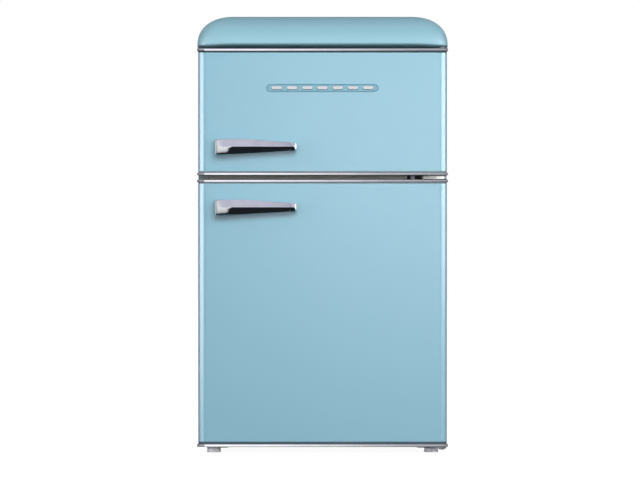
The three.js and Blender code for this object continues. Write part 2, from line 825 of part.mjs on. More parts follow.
/** Tube wound round the freezer liner, with a tail down to the compressor. */
function evaporatorCoil() {
  const half = SPACE.half + 6;
  const [low, high] = [FREEZER.bottom - 6, FREEZER.top + 6.3];
  const corners = [[60, -120, low]];
  for (let y = -120; y <= 180; y += 60) {
    corners.push([half, y, low], [half, y, high], [-half, y, high], [-half, y, low]);
  }
  const { x, y, radius } = SUCTION;
  const port = [COMPRESSOR.x + COMPRESSOR.rx, COMPRESSOR.y, 110];
  corners.push([x, 180, low], [x, y, low], [x, y, port[2]], [x, port[1], port[2]], port);
  return piece("evaporator_coil", COPPER, tube(corners, radius, 12));
}

/** Serpentine tube stiffened by upright wires, from the compressor to the filter drier. */
function condenser() {
  const { half, y, tube: radius, bottom, pitch, passes, rodY, rod } = CONDENSER;
  const top = bottom + pitch * (passes - 1);
  const corners = [[-14, 226, 145], [-14, y, 145], [half, y, 145]];
  for (let pass = 0; pass < passes; pass += 1) {
    const z = bottom + pitch * pass;
    const ends = pass % 2 === 0 ? [half, -half] : [-half, half];
    corners.push(...ends.map((x) => [x, y, z]));
  }
  corners.pop();
  corners.push([DRIER.x, y, top], [DRIER.x, y, 150], [DRIER.x, DRIER.y, 150], [DRIER.x, DRIER.y, 131]);
  const rods = [-144, -72, 0, 72, 144].map((x) =>
    cylinder([x, rodY, bottom - 8], [x, rodY, top + 8], rod, 6),
  );
  return piece("condenser", BLACK_METAL, join(tube(corners, radius, 15), rods));
}

const DRIER = { x: -206, y: 222 };

/** The drier's copper bottle with the capillary that leaves it for the suction tube. */
function filterDrier() {
  const { x, y } = DRIER;
  const bottle = turned(
    [[0, 44], [3, 44], [3, 50], [9, 57], [9, 118], [3, 125], [3, 130.7], [0, 130.7]],
    16,
  ).translate([x, y, 0]);
  const capillary = tube(
    [[x, y, 48], [x, y, 22], [x, 236, 22], [104.8, 236, 22], [104.8, 236, 150], [104.8, 222, 150]],
    1.2,
    6,
    5,
  );
  return piece("filter_drier", COPPER, join(bottle, capillary));
}

function condenserBracket(name, z) {
  const strap = block(mirrored(195), [CABINET.back + GAP, CABINET.back + 2.3], [z - 6, z + 6]);
  const reach = CONDENSER.y - CONDENSER.tube - GAP;
  const tabs = [-160, -50, 50, 160].map((x) =>
    block([x - 7, x + 7], [CABINET.back + 2, reach], [z - 4, z - 2]),
  );
  return piece(name, BLACK_METAL, join(strap, tabs));
}

/** A welded can on a foot plate. */
function compressor() {
  const { x, y, rx, ry, base, top } = COMPRESSOR;
  const seam = 1.03;
  const profile = [
    [0, base + 2],
    [0.8, base + 2],
    [0.93, base + 10],
    [1, base + 40],
    [1, base + 64],
    [seam, base + 65],
    [seam, base + 69],
    [1, base + 70],
    [1, top - 45],
    [0.96, top - 26],
    [0.85, top - 12],
    [0.55, top - 3],
    [0, top],
  ].map(([share, z]) => [share / seam, z]);
  const can = turned(profile, 28).scale([rx, ry, 1]).translate([x, y, 0]);
  const plate = prism(
    roundedRectangle([x - 84, x + 84], [y - 58, y + 58], 14),
    "z",
    [base, base + 3],
  );
  return piece("compressor", BLACK_METAL, join(can, plate));
}

function relayCover() {
  const right = COMPRESSOR.x - COMPRESSOR.rx - GAP;
  const shape = roundedRectangle([COMPRESSOR.y - 25, COMPRESSOR.y + 25], [75, 130], 6);
  return piece("relay_cover", BLACK_METAL, prism(shape, "x", [right - 30, right]));
}

function grommets() {
  const { x, y, base } = COMPRESSOR;
  const low = CABINET.bottom + 2 + GAP;
  const high = base - GAP;
  const profile = [[0, low], [9, low], [9, low + 4], [6.5, low + 6], [6.5, high - 3], [8, high], [0, high]];
  return [[-1, -1], [1, -1], [1, 1], [-1, 1]].map(([side, depth], i) => {
    const made = piece(`compressor_grommet_${i + 1}`, BLACK_METAL, turned(profile, 14));
    made.position.set(x + side * 72, y + depth * 46, 0);
    return made;
  });
}

function dripTray() {
  const { x, y, top } = COMPRESSOR;
  const low = top + 0.5;
  const across = [x - 52, x + 52];
  const along = [y - 42, y + 42];
  const shell = prism(roundedRectangle(across, along, 10), "z", [low, low + 18]);
  const room = roundedRectangle(
    [across[0] + 2, across[1] - 2],
    [along[0] + 2, along[1] - 2],
    8,
  );
  return piece("drip_tray", WHITE_PLASTIC, cut(shell, prism(room, "z", [low + 2, low + 20])));
}

/** A bush in the tray's rear tab, where the mains lead passes out. */
function cordGland() {
  const back = CABINET.back - 2;
  const centre = (y) => [170, y, 34];
  const flange = cylinder(centre(back + GAP), centre(back + 4), 10);
  const neck = cylinder(centre(back - 8), centre(back + 1), 6.6);
  const bore = cylinder(centre(back - 20), centre(back + 20), 3.6);
  return piece("cord_gland", RUBBER, cut(join(flange, neck), bore));
}

// ------------------------------------------------------------------ assembly

const fridgeLedges = [
  ledges(SHELF_LEVELS.upper, SHELF.back),
  ledges(SHELF_LEVELS.lower, SHELF.back),
  ledges(SHELF_LEVELS.crisperCover, HUMP.front + 1),
].flat();

const cabinet = group(
  outerWrapper(),
  topCap(),
  backPanel(),
  basePan(),
  compressorTray(),
  cabinetFoam(),
  liner("freezer_liner", freezerRoom, FREEZER, ledges(FREEZER_SHELF_Z - 2.5, SHELF.back)),
  liner("fridge_liner", fridgeRoom, FRIDGE, fridgeLedges),
  rail("mullion_rail", RAIL.mullion),
  rail("base_rail", RAIL.base),
  topHinge(),
  middleHinge(),
  hingeScrew("middle_hinge_screw_1", 166.6),
  hingeScrew("middle_hinge_screw_2", 185),
  bottomHinge(),
  rearFoot("rear_foot_left", -FOOT.rear[0]),
  rearFoot("rear_foot_right", FOOT.rear[0]),
);

const interior = group(
  freezerShelf(),
  glassShelf("glass_shelf_upper", SHELF_LEVELS.upper),
  glassShelf("glass_shelf_lower", SHELF_LEVELS.lower),
  glassShelf("crisper_cover", SHELF_LEVELS.crisperCover, CLEAR_PLASTIC),
  thermostatHousing(),
  lampLens(),
);

const coolingCircuit = group(
  evaporatorCoil(),
  condenser(),
  condenserBracket("condenser_bracket_lower", CONDENSER.bottom - 13),
  condenserBracket("condenser_bracket_upper", CONDENSER.bottom + CONDENSER.pitch * 10 + 13),
  filterDrier(),
  compressor(),
  relayCover(),
  grommets(),
  dripTray(),
  cordGland(),
);

const movingPieces = group(
  levellingFoot("front_foot_left", -FOOT.front[0]),
  levellingFoot("front_foot_right", FOOT.front[0]),
  thermostatKnob(),
  lightSwitchPlunger(),
  crisperDrawer(),
);

const freezerDoor = door(FREEZER_DOOR, FREEZER_HANDLE_Z, [
  badgeBar(),
  doorBin("freezer_door_rack", 597, 42, -118),
]);

const fridgeDoor = door(FRIDGE_DOOR, FRIDGE_HANDLE_Z, [
  doorBin("fridge_door_shelf_upper", 392, 52, -110),
  doorBin("fridge_door_shelf_middle", 262, 52, -103),
  doorBin("fridge_door_bottle_bin", 94, 88, -103),
]);

const refrigerator = group(cabinet, interior, coolingCircuit, movingPieces, freezerDoor, fridgeDoor);
refrigerator.name = "top_freezer_refrigerator";

export default refrigerator;
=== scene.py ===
"""Looks of the retro two-door refrigerator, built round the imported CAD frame.

Shapes are written in millimetres in the row frame and become metres when their mesh is made.
"""

import math

import bmesh
import bpy
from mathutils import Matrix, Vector


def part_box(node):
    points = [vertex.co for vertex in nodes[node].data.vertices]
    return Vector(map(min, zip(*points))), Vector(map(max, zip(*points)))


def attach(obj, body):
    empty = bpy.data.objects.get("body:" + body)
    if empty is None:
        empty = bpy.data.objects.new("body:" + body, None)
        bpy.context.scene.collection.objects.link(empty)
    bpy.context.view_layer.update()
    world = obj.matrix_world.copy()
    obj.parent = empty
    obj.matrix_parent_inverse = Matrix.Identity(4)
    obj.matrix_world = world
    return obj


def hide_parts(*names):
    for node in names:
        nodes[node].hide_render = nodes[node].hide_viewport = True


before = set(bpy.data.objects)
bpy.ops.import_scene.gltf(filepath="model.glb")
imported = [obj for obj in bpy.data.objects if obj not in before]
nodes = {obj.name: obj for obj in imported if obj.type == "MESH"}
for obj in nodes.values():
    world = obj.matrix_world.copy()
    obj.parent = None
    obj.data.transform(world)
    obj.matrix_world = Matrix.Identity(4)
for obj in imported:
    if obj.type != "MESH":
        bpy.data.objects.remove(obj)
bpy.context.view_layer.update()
scene = bpy.context.scene
MM = 0.001


def extent(node):
    """A CAD node's ranges along x, y and z, in millimetres."""
    low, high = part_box(node)
    return [(low[i] / MM, high[i] / MM) for i in range(3)]


def grown(span, by):
    """A range made longer by a distance at both ends."""
    return (span[0] - by, span[1] + by)


def about(middle, reach):
    """A range that reaches equally far to both sides of its middle."""
    return (middle - reach, middle + reach)


def clamp(value):
    return min(max(value, 0.0), 1.0)


# ------------------------------------------------------------------ camera

CAMERA_DISTANCE = 16.0
door_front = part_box("freezer_door_skin")[0].y
camera_data = bpy.data.cameras.new("camera")
camera_data.lens = 467.9
camera = bpy.data.objects.new("camera", camera_data)
camera.location = (-0.0049, door_front - CAMERA_DISTANCE, 0.4102)
camera.rotation_euler = (math.pi / 2, 0, 0)
scene.collection.objects.link(camera)
scene.camera = camera
scene.view_settings.view_transform = "Standard"


# ------------------------------------------------------------------ finishes


class Nodes:
    """A node tree under construction."""

    def __init__(self, tree):
        self.tree = tree

    def put(self, socket, value):
        if isinstance(value, bpy.types.NodeSocket):
            self.tree.links.new(value, socket)
        else:
            socket.default_value = value

    def node(self, kind, inputs=None, **settings):
        made = self.tree.nodes.new(kind)
        for key, value in settings.items():
            setattr(made, key, value)
        for key, value in (inputs or {}).items():
            self.put(made.inputs[key], value)
        return made

    def spread(self, value, low, high, start=0.35, end=0.65):
        """A value's working range, start to end, put to low and high."""
        inputs = {"Value": value, "From Min": start, "From Max": end, "To Min": low, "To Max": high}
        return self.node("ShaderNodeMapRange", inputs).outputs[0]


class Finish(Nodes):
    """A material made from nodes. Its textures read the piece's own place, in metres."""

    def __init__(self, name, **sockets):
        self.material = bpy.data.materials.new(name)
        self.material.use_nodes = True
        super().__init__(self.material.node_tree)
        self.shader = self.tree.nodes["Principled BSDF"]
        self.place = self.node("ShaderNodeTexCoord").outputs["Object"]
        for socket, value in sockets.items():
            self.shader.inputs[socket.replace("_", " ")].default_value = value

    def stretched(self, x, y, z):
        return self.node("ShaderNodeMapping", {"Vector": self.place, "Scale": (x, y, z)}).outputs[0]

    def noise(self, scale, detail=3.0, rough=0.5, place=None):
        inputs = {"Vector": place or self.place, "Scale": scale, "Detail": detail, "Roughness": rough}
        return self.node("ShaderNodeTexNoise", inputs).outputs[0]

    def cells(self, scale, output="Distance"):
        return self.node("ShaderNodeTexVoronoi", {"Vector": self.place, "Scale": scale}).outputs[output]

    def maths(self, operation, first, second):
        return self.node("ShaderNodeMath", {0: first, 1: second}, operation=operation).outputs[0]

    def weighted(self, first, second, share):
        """Two values added, the first by its share and the second by the rest."""
        parts = (self.maths("MULTIPLY", first, share), self.maths("MULTIPLY", second, 1 - share))
        return self.maths("ADD", *parts)

    def blend(self, share, first, second):
        made = self.node("ShaderNodeMix", data_type="RGBA")
        for index, value in ((0, share), (6, first), (7, second)):
            if isinstance(value, tuple) and len(value) == 3:
                value = (*value, 1.0)
            self.put(made.inputs[index], value)
        return made.outputs[2]

    def tones(self, pattern, dark, light, start=0.35, end=0.65):
        """Two colours that follow a pattern."""
        return self.blend(self.spread(pattern, 0, 1, start, end), dark, light)

    def shaded(self, paint, deep, distance):
        """A colour that turns to the deep one where other surfaces stand close in front of it: painted shade.
        """
        open_share = self.node("ShaderNodeAmbientOcclusion", {"Distance": distance}).outputs["AO"]
        return self.tones(open_share, deep, paint, 0.3, 0.8)

    def edges(self):
        """How sharply the surface stands out, 0 on flats and 1 on bare edges."""
        return self.spread(self.node("ShaderNodeNewGeometry").outputs["Pointiness"], 0, 1, 0.52, 0.6)

    def colour(self, value):
        self.put(self.shader.inputs["Base Color"], value)

    def roughness(self, pattern, low, high, start=0.35, end=0.65):
        self.put(self.shader.inputs["Roughness"], self.spread(pattern, low, high, start, end))

    def relief(self, height, depth, strength, over=None):
        """Bump of a depth in metres, over another bump."""
        inputs = {"Height": height, "Distance": depth, "Strength": strength}
        if over is not None:
            inputs["Normal"] = over
        normal = self.node("ShaderNodeBump", inputs).outputs[0]
        self.put(self.shader.inputs["Normal"], normal)
        return normal


def enamel(name, base, rough, coat=0.0, painted_shade_reach=0.0):
    """Stove enamel: one tone with a trace of cloudiness, orange peel, and painted shade deep in a gap."""
    made = Finish(name, Coat_Weight=coat, Coat_Roughness=0.25, Coat_IOR=1.45, Specular_IOR_Level=0.5)
    cloud = made.weighted(made.noise(2.5, 2.0), made.noise(900.0, 2.0), 0.8)
    paint = made.tones(cloud, tuple(part * 0.985 for part in base), base)
    # painted shade: the paint turns nearly black where the ambient occlusion finds close surfaces, deep in
    # gaps
    if painted_shade_reach:
        paint = made.shaded(paint, tuple(part * 0.12 for part in base), painted_shade_reach)
    made.colour(paint)
    made.roughness(made.noise(40.0), rough - 0.02, rough + 0.02)
    peel = made.relief(made.noise(260.0, 1.0), 0.00003, 0.3)
    made.relief(made.noise(9.0, 1.0), 0.00015, 0.25, peel)
    return made.material


def chrome(name, low, high, dark=(0.80, 0.81, 0.83), light=(0.88, 0.89, 0.90)):
    """Bright plating with faint haze and wiping marks. Low and high are its range of roughness."""
    made = Finish(name, Metallic=1.0, IOR=2.5)
    made.colour(made.tones(made.noise(30.0, 4.0), dark, light))
    wipes = made.noise(60.0, 3.0, 0.6, made.stretched(1, 4, 9))
    made.roughness(wipes, low, high)
    made.relief(made.noise(70.0, 2.0), 0.00001, 0.2)
    return made.material


def galvanised():
    """Zinc spangle: cells of slightly different grey."""
    made = Finish("galvanised", Metallic=0.85)
    size, start, end = 70.0, 0.2, 0.8
    cell = made.node("ShaderNodeSeparateColor", {"Color": made.cells(size, "Color")}).outputs[0]
    spangle = made.weighted(cell, made.noise(7.0, 4.0), 0.55)
    made.colour(made.tones(spangle, (0.43, 0.44, 0.45), (0.62, 0.63, 0.64), start, end))
    made.roughness(spangle, 0.5, 0.3, start, end)
    made.relief(made.cells(size), 0.00003, 0.3)
    return made.material


def brushed():
    """Steel with a fine grain along x."""
    made = Finish("brushed_steel", Metallic=0.35)
    grain = made.noise(55.0, 4.0, 0.7, made.stretched(0.6, 30, 30))
    made.colour(made.tones(grain, (0.32, 0.31, 0.30), (0.37, 0.36, 0.35)))
    made.roughness(grain, 0.42, 0.5)
    made.relief(grain, 0.000005, 0.3)
    return made.material


def plain(name, dark, light, scale, rough, grain, depth, wear=None, **sockets):
    """A moulded or painted finish: mottled colour, uneven gloss, fine grain, and wear on the edges."""
    made = Finish(name, **sockets)
    tone = made.tones(made.noise(scale, 4.0, 0.55), dark, light)
    if wear:
        rub = made.maths("MULTIPLY", made.edges(), made.spread(made.noise(scale * 6), 0.1, 1.0))
        tone = made.blend(rub, tone, wear)
    made.colour(tone)
    made.roughness(made.noise(scale * 3, 3.0), *rough)
    made.relief(made.noise(grain, 3.0, 0.6), depth, 0.5)
    return made.material


def plate_with_painted_shade(lit_from, shade_from):
    """A pressed steel plate, bright on the arm that stands forward, with painted shade: nearly black where it
    lies deeper in the gap between the doors, behind a place along y.
    """
    made = Finish("hinge_steel", Metallic=0.6)
    grain = made.noise(30.0, 4.0, 0.55)
    plate_tone = made.tones(grain, (0.84, 0.84, 0.84), (0.90, 0.90, 0.90))
    painted_shade = made.tones(grain, (0.10, 0.10, 0.11), (0.14, 0.14, 0.15))
    depth = made.node("ShaderNodeSeparateXYZ", {"Vector": made.place}).outputs["Y"]
    # painted shade: the colour falls from bright steel to nearly black between the two places along y
    made.colour(made.tones(depth, plate_tone, painted_shade, lit_from, shade_from))
    made.roughness(made.noise(90.0), 0.32, 0.4)
    made.relief(made.noise(600.0, 3.0, 0.6), 0.00003, 0.5)
    return made.material


def foam():
    """Blown foam with open cells."""
    made = Finish("insulation_foam", Specular_IOR_Level=0.2)
    cell = made.cells(450.0)
    made.colour(made.tones(cell, (0.72, 0.60, 0.33), (0.86, 0.76, 0.50), 0.1, 0.7))
    made.roughness(made.noise(30.0), 0.8, 0.95)
    made.relief(cell, 0.0006, 0.8)
    return made.material


BLUE = (0.150, 0.328, 0.415)
ENAMEL = enamel("blue_enamel", BLUE, 0.34, coat=0.8)
# The cabinet's enamel has painted shade, nearly black, in the gap between the doors.
BODY_ENAMEL = enamel("blue_body_enamel", BLUE, 0.34, coat=0.8, painted_shade_reach=0.05)
CAP_ENAMEL = enamel("blue_cap_enamel", (0.196, 0.362, 0.428), 0.46)
CHROME = chrome("bright_plate", 0.08, 0.13)
BEAD_CHROME = chrome("bead_plate", 0.12, 0.16, (0.42, 0.42, 0.45), (0.46, 0.46, 0.49))
ZINC = galvanised()
STEEL = brushed()
# The middle hinge's plate has painted shade: nearly black where it lies deep in the gap between the doors.
HINGE_STEEL = plate_with_painted_shade(lit_from=-0.204, shade_from=-0.198)
SATIN = plain(
    "satin_plate", (0.84, 0.84, 0.84), (0.90, 0.90, 0.90), 30.0, (0.32, 0.4), 600.0, 0.00003,
    Metallic=0.6,
)
BLACK_METAL = plain(
    "black_coated_metal", (0.012, 0.012, 0.013), (0.030, 0.030, 0.032), 18.0, (0.35, 0.55), 700.0, 0.00008,
    wear=(0.16, 0.15, 0.14), Specular_IOR_Level=0.5,
)
WHITE = plain(
    "white_moulding", (0.80, 0.81, 0.80), (0.86, 0.865, 0.855), 5.0, (0.28, 0.42), 500.0, 0.00006,
    Subsurface_Weight=0.05, Subsurface_Scale=0.004,
)
CLEAR = plain(
    "clear_moulding", (0.86, 0.92, 0.95), (0.94, 0.97, 0.985), 8.0, (0.04, 0.14), 300.0, 0.00005,
    Transmission_Weight=0.7, IOR=1.49, Alpha=0.3,
)
LENS = plain(
    "frosted_lens", (0.86, 0.87, 0.86), (0.94, 0.95, 0.94), 20.0, (0.3, 0.45), 400.0, 0.0001,
    Transmission_Weight=0.6, IOR=1.49,
)
GLASS = plain(
    "shelf_glass", (0.86, 0.95, 0.92), (0.93, 0.985, 0.965), 6.0, (0.01, 0.05), 90.0, 0.00001,
    Transmission_Weight=1.0, IOR=1.52, Alpha=0.4,
)
FOAM = foam()
SEAL = plain(
    "seal_vinyl", (0.62, 0.63, 0.63), (0.72, 0.73, 0.72), 25.0, (0.5, 0.62), 900.0, 0.00006,
    Specular_IOR_Level=0.4,
)
BLACK_RUBBER = plain(
    "black_rubber", (0.014, 0.014, 0.014), (0.035, 0.034, 0.033), 60.0, (0.65, 0.85), 800.0, 0.00015,
    wear=(0.09, 0.09, 0.09),
)
GREY_PLASTIC = plain(
    "grey_foot_plastic", (0.84, 0.85, 0.88), (0.90, 0.91, 0.94), 60.0, (0.4, 0.55), 700.0, 0.0001,
    wear=(0.85, 0.85, 0.87),
)
BLACK_PLASTIC = plain(
    "black_moulding", (0.010, 0.010, 0.011), (0.022, 0.022, 0.024), 40.0, (0.3, 0.45), 900.0, 0.0001,
    wear=(0.07, 0.07, 0.07),
)
# Painted shade: the lines between the beads and the paint, dark to pale blue grey, stand for shade in the
# grooves.
SHADE_LINE_DARK = plain("painted_shade_line_dark", (0.02, 0.04, 0.055), (0.03, 0.05, 0.065), 40.0, (0.5, 0.6), 900.0, 0.00005)
SHADE_LINE_GREY = plain("painted_shade_line_grey", (0.05, 0.075, 0.09), (0.06, 0.085, 0.10), 40.0, (0.5, 0.6), 900.0, 0.00005)
SHADE_LINE_PALE = plain("painted_shade_line_pale", (0.16, 0.21, 0.23), (0.19, 0.24, 0.26), 40.0, (0.5, 0.6), 900.0, 0.00005)
COPPER = plain(
    "copper_tube", (0.55, 0.24, 0.12), (0.80, 0.42, 0.26), 35.0, (0.22, 0.42), 500.0, 0.00004,
    Metallic=1.0,
)


# ------------------------------------------------------------------ mesh building

THIN = 0.02  # the least radius of a ring or a corner
# A screw's head, in shares of its radius: how far it is a disc, how far a cross, and its height.
SCREW_HEAD = [
    (1.0, 0.0, 0.0), (1.0, 0.0, 0.217), (0.92, 0.0, 0.3844), (0.78, 0.0, 0.527), (0.6, 0.0, 0.6014),
    (0.0, 1.0, 0.62), (0.0, 0.8, 0.217),
]


def put(axis, u, v, height):
    """A point across an axis, with u and v in the axis's own plane."""
    return {"x": (height, u, v), "y": (u, height, v), "z": (u, v, height)}[axis]


def arc(start, end, steps):
    """Angles in radians, evenly from one number of degrees to another."""
    return [math.radians(start + (end - start) * k / steps) for k in range(steps + 1)]


def ring_angles(sides):
    return arc(0, 360, sides)[:-1]


def rounded(u, v, radius, steps=6):
    """Points round a rectangle with ranges u and v. One radius, or one for each corner."""
    radii = radius if isinstance(radius, (list, tuple)) else [radius] * 4
    corners = [(u[0], v[0], 1, 1), (u[1], v[0], -1, 1), (u[1], v[1], -1, -1), (u[0], v[1], 1, -1)]
    points = []
    for quarter, ((cu, cv, su, sv), r) in enumerate(zip(corners, radii)):
        r = max(r, THIN)
        start = 180 + 90 * quarter
        for t in arc(start, start + 90, steps):
            points.append((cu + su * r + r * math.cos(t), cv + sv * r + r * math.sin(t)))
    return points


def section(axis, u, v, height, inset, corner, steps):
    """A rounded rectangle across an axis, with ranges u and v drawn in by an inset."""
    plan = rounded(grown(u, -inset), grown(v, -inset), corner, steps)
    return [put(axis, p, q, height) for p, q in plan]


def bent(corners, radius, steps=6):
    """A path through corners, each one rounded."""
    places = [Vector(c) for c in corners]
    path = [places[0]]
    for before, corner, after in zip(places, places[1:], places[2:]):
        back, on = (before - corner).normalized(), (after - corner).normalized()
        half = back.angle(on) / 2
        centre = corner + (back + on).normalized() * (radius / math.sin(half))
        start = corner + back * (radius / math.tan(half)) - centre
        end = corner + on * (radius / math.tan(half)) - centre
        turn = start.angle(end)
        across = (end - start * math.cos(turn)).normalized() * radius
        for k in range(steps + 1):
            angle = turn * k / steps
            path.append(centre + start * math.cos(angle) + across * math.sin(angle))
    return path + [places[-1]]


class Form:
    """Points and faces of one mesh under construction."""

    def __init__(self):
        self.points = []
        self.faces = []
        self.finish = []

    def face(self, *corners, finish=0):
        self.faces.append(tuple(corners))
        self.finish.append(finish)

    def loft(self, rings, loop=False, closed=True, finish=None):
        """Rings of equally many points, joined in order. finish gives the finish of each span."""
        start, count = len(self.points), len(rings[0])
        for ring in rings:
            self.points.extend(Vector(p) for p in ring)
        for s in range(len(rings) if loop else len(rings) - 1):
            a = start + s * count
            b = start + ((s + 1) % len(rings)) * count
            index = finish(s) if finish else 0
            for i in range(count):
                j = (i + 1) % count
                self.face(a + i, a + j, b + j, b + i, finish=index)
        if closed and not loop:
            last = start + (len(rings) - 1) * count
            self.face(*(start + i for i in reversed(range(count))))
            self.face(*(last + i for i in range(count)))
        return self

    def turned(self, profile, centre, axis="z", sides=40, squash=(1.0, 1.0), loop=False, finish=None):
        """A profile of (radius, height) about an axis through a centre."""
        rings = []
        for radius, height in profile:
            across, along = squash[0] * max(radius, THIN), squash[1] * max(radius, THIN)
            ring = [put(axis, across * math.cos(t), along * math.sin(t), height) for t in ring_angles(sides)]
            rings.append([Vector(point) + Vector(centre) for point in ring])
        return self.loft(rings, loop=loop, finish=finish)

    def tube(self, path, radius, sides=12):
        side = Vector((0.3, 0.5, 0.8))
        rings = []
        for i, point in enumerate(path):
            heading = (path[min(i + 1, len(path) - 1)] - path[max(i - 1, 0)]).normalized()
            side = (side - heading * side.dot(heading)).normalized()
            across = heading.cross(side)
            turns = [(radius * math.cos(t), radius * math.sin(t)) for t in ring_angles(sides)]
            rings.append([point + side * u + across * v for u, v in turns])
        return self.loft(rings)

    def rod(self, start, end, radius, sides):
        """A straight wire."""
        start, end = Vector(start), Vector(end)
        return self.tube([start, start.lerp(end, 0.5), end], radius, sides)

    def pillow(self, x, y, z, corner=2.0, edge=1.0, axis="z", steps=5, finish=None):
        """A box with rounded corners along one axis and softened ends."""
        u, v, h = {"x": (y, z, x), "y": (x, z, y), "z": (x, y, z)}[axis]
        rings = []
        for end, sign in ((h[0], 1), (h[1], -1)):
            half = []
            for angle in arc(0, 90, 3):
                inset = edge * (1 - math.sin(angle))
                height = end + sign * edge * (1 - math.cos(angle))
                half.append(section(axis, u, v, height, inset, max(corner - inset, 0.05), steps))
            rings += half[::sign]
        return self.loft(rings, finish=finish)

    def screw(self, place, axis, out, radius):
        """A pan head with a cross recess, standing out from a surface along an axis."""
        rings = []
        for disc, cross, height in SCREW_HEAD:
            ring = []
            for t in ring_angles(32):
                r = radius * (disc + cross * (0.14 + 0.34 * math.cos(2 * t) ** 12))
                point = put(axis, r * math.cos(t), r * math.sin(t), out * height * radius)
                ring.append(Vector(point) + Vector(place))
            rings.append(ring)
        return self.loft(rings)


def make(form, name, body, finishes, stands_for=(), sharp=35.0):
    """A form as a piece that rides on a body."""
    mesh = bpy.data.meshes.new(name)
    mesh.from_pydata([p * MM for p in form.points], [], form.faces)
    finishes = finishes if isinstance(finishes, (list, tuple)) else [finishes]
    for finish in finishes:
        mesh.materials.append(finish)
    mesh.polygons.foreach_set("material_index", form.finish)
    shape = bmesh.new()
    shape.from_mesh(mesh)
    bmesh.ops.remove_doubles(shape, verts=shape.verts, dist=1e-6)
    bmesh.ops.recalc_face_normals(shape, faces=shape.faces)
    shape.to_mesh(mesh)
    shape.free()
    mesh.shade_smooth()
    mesh.set_sharp_from_angle(angle=math.radians(sharp))
    made = bpy.data.objects.new(name, mesh)
    scene.collection.objects.link(made)
    normals = made.modifiers.new("flat_faces", "WEIGHTED_NORMAL")
    normals.keep_sharp = True
    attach(made, body)
    if stands_for:
        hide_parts(*stands_for)
    return made


def keep(node, finish, bevel):
    """A CAD node that stays: its finish, and edges softened by a bevel."""
    made = nodes[node]
    made.data.materials.clear()
    made.data.materials.append(finish)
    made.data.shade_smooth()
    weld = made.modifiers.new("weld", "WELD")
    weld.merge_threshold = 0.00001
    if bevel:
        edge = made.modifiers.new("edges", "BEVEL")
        edge.width = bevel * MM
        edge.segments = 2
        edge.limit_method = "ANGLE"
        edge.angle_limit = math.radians(40)
    normals = made.modifiers.new("flat_faces", "WEIGHTED_NORMAL")
    normals.keep_sharp = True


# ------------------------------------------------------------------ cap


# The turn under the cap's front edge: shares of its height and of its depth.
TUCK = [
    (0.2, 0.01), (0.32, 0.05), (0.43, 0.13), (0.54, 0.26),
    (0.65, 0.44), (0.77, 0.64), (0.9, 0.86), (1.0, 1.0),
]


def cap_shell():
    """A blown shell: elliptical shoulders, a bullnose in front, and a tuck under its rim."""
    (_, x1), (front, back), (bottom, top) = extent("top_cap")
    side_run, side_drop, front_run, front_drop, square, rear = 73.0, 57.0, 60.0, 50.0, 4.5, 10.0
    side_full, front_full = 2.3, 2.0
    bends = [math.sin(angle) for angle in arc(0, 90, 14)]
    flat = x1 - side_run
    columns = [(-1, a, -flat) for a in reversed(bends[1:])]
    columns += [(1, 0.0, -flat + 2 * flat * k / 8) for k in range(9)]
    columns += [(1, a, flat) for a in bends[1:]]
    turn, level = back - rear, front + front_run
    rows = [(turn + rear * math.sin(t), 0.0, rear * (1 - math.cos(t))) for t in reversed(arc(0, 90, 5))]
    rows += [(turn + (level - turn) * k / 8, 0.0, 0.0) for k in range(1, 9)]
    rows += [(level, b, 0.0) for b in bends[1:]]

    def share(a, b):
        """A grid place drawn in to the rounded corner's own plan, and how far it is the side's."""
        reach = max(a, b)
        if reach == 0:
            return 0.0, 0.0, 0.0, 1.0
        norm = (a**square + b**square) ** (1 / square)
        pa, pb = a * reach / norm, b * reach / norm
        return reach, pa, pb, pa * pa / (pa * pa + pb * pb)

    form = Form()
    place = []
    rim = {}
    for r, (y, b, inset) in enumerate(rows):
        line = []
        for c, (side, a, x) in enumerate(columns):
            reach, pa, pb, mine = share(a, b)
            drop = front_drop + (side_drop - front_drop) * mine
            full = front_full + (side_full - front_full) * mine
            lift = max(0.0, 1 - reach**full) ** (1 / full)
            out = Vector((side * pa / side_run, 0, lift / side_drop)).normalized()
            point = Vector((x + side * side_run * pa, y - front_run * pb, top - drop * (1 - lift)))
            line.append(len(form.points))
            form.points.append(point - out * inset)
            if reach > 0.9999:
                plan = Vector((side * pa ** (square - 1) / side_run, -(pb ** (square - 1)) / front_run, 0))
                rim[(r, c)] = (plan.normalized(), mine)
        place.append(line)
    for r in range(len(rows) - 1):
        for c in range(len(columns) - 1):
            form.face(place[r][c], place[r][c + 1], place[r + 1][c + 1], place[r + 1][c])

    last_row, last_column = len(rows) - 1, len(columns) - 1
    edge = [(r, 0) for r in range(last_row)] + [(last_row, c) for c in range(last_column)]
    edge += [(r, last_column) for r in range(last_row, -1, -1)]
    loop = [place[r][c] for r, c in edge]

    def below(depth_at):
        nonlocal loop
        start = len(form.points)
        for r, c in edge:
            out, mine = rim[(r, c)]
            inset, z = depth_at(mine, form.points[place[r][c]].z)
            base = form.points[place[r][c]]
            form.points.append(Vector((base.x, base.y, z)) - out * inset)
        fresh = list(range(start, start + len(edge)))
        for i in range(len(edge)):
            j = (i + 1) % len(edge)
            form.face(loop[i], loop[j], fresh[j], fresh[i])
        loop = fresh

    for down, within in TUCK:
        def tuck(mine, rim_z, down=down, within=within):
            return (24 - 22 * mine) * within, rim_z - (rim_z - bottom) * down
        below(tuck)
    below(lambda mine, rim_z: (27 - 21.5 * mine, bottom))
    below(lambda mine, rim_z: (27.5 - 21.5 * mine, bottom + 6))
    form.face(*loop)
    form.face(*[place[0][c] for c in range(last_column, -1, -1)])
    return make(form, "cap_shell", "cabinet", CAP_ENAMEL, ["top_cap"], 50)


# ------------------------------------------------------------------ doors

DOOR_HALF, DOOR_RADIUS = 239.5, 15.0
HINGE_PIN = (229.5, -216.0)


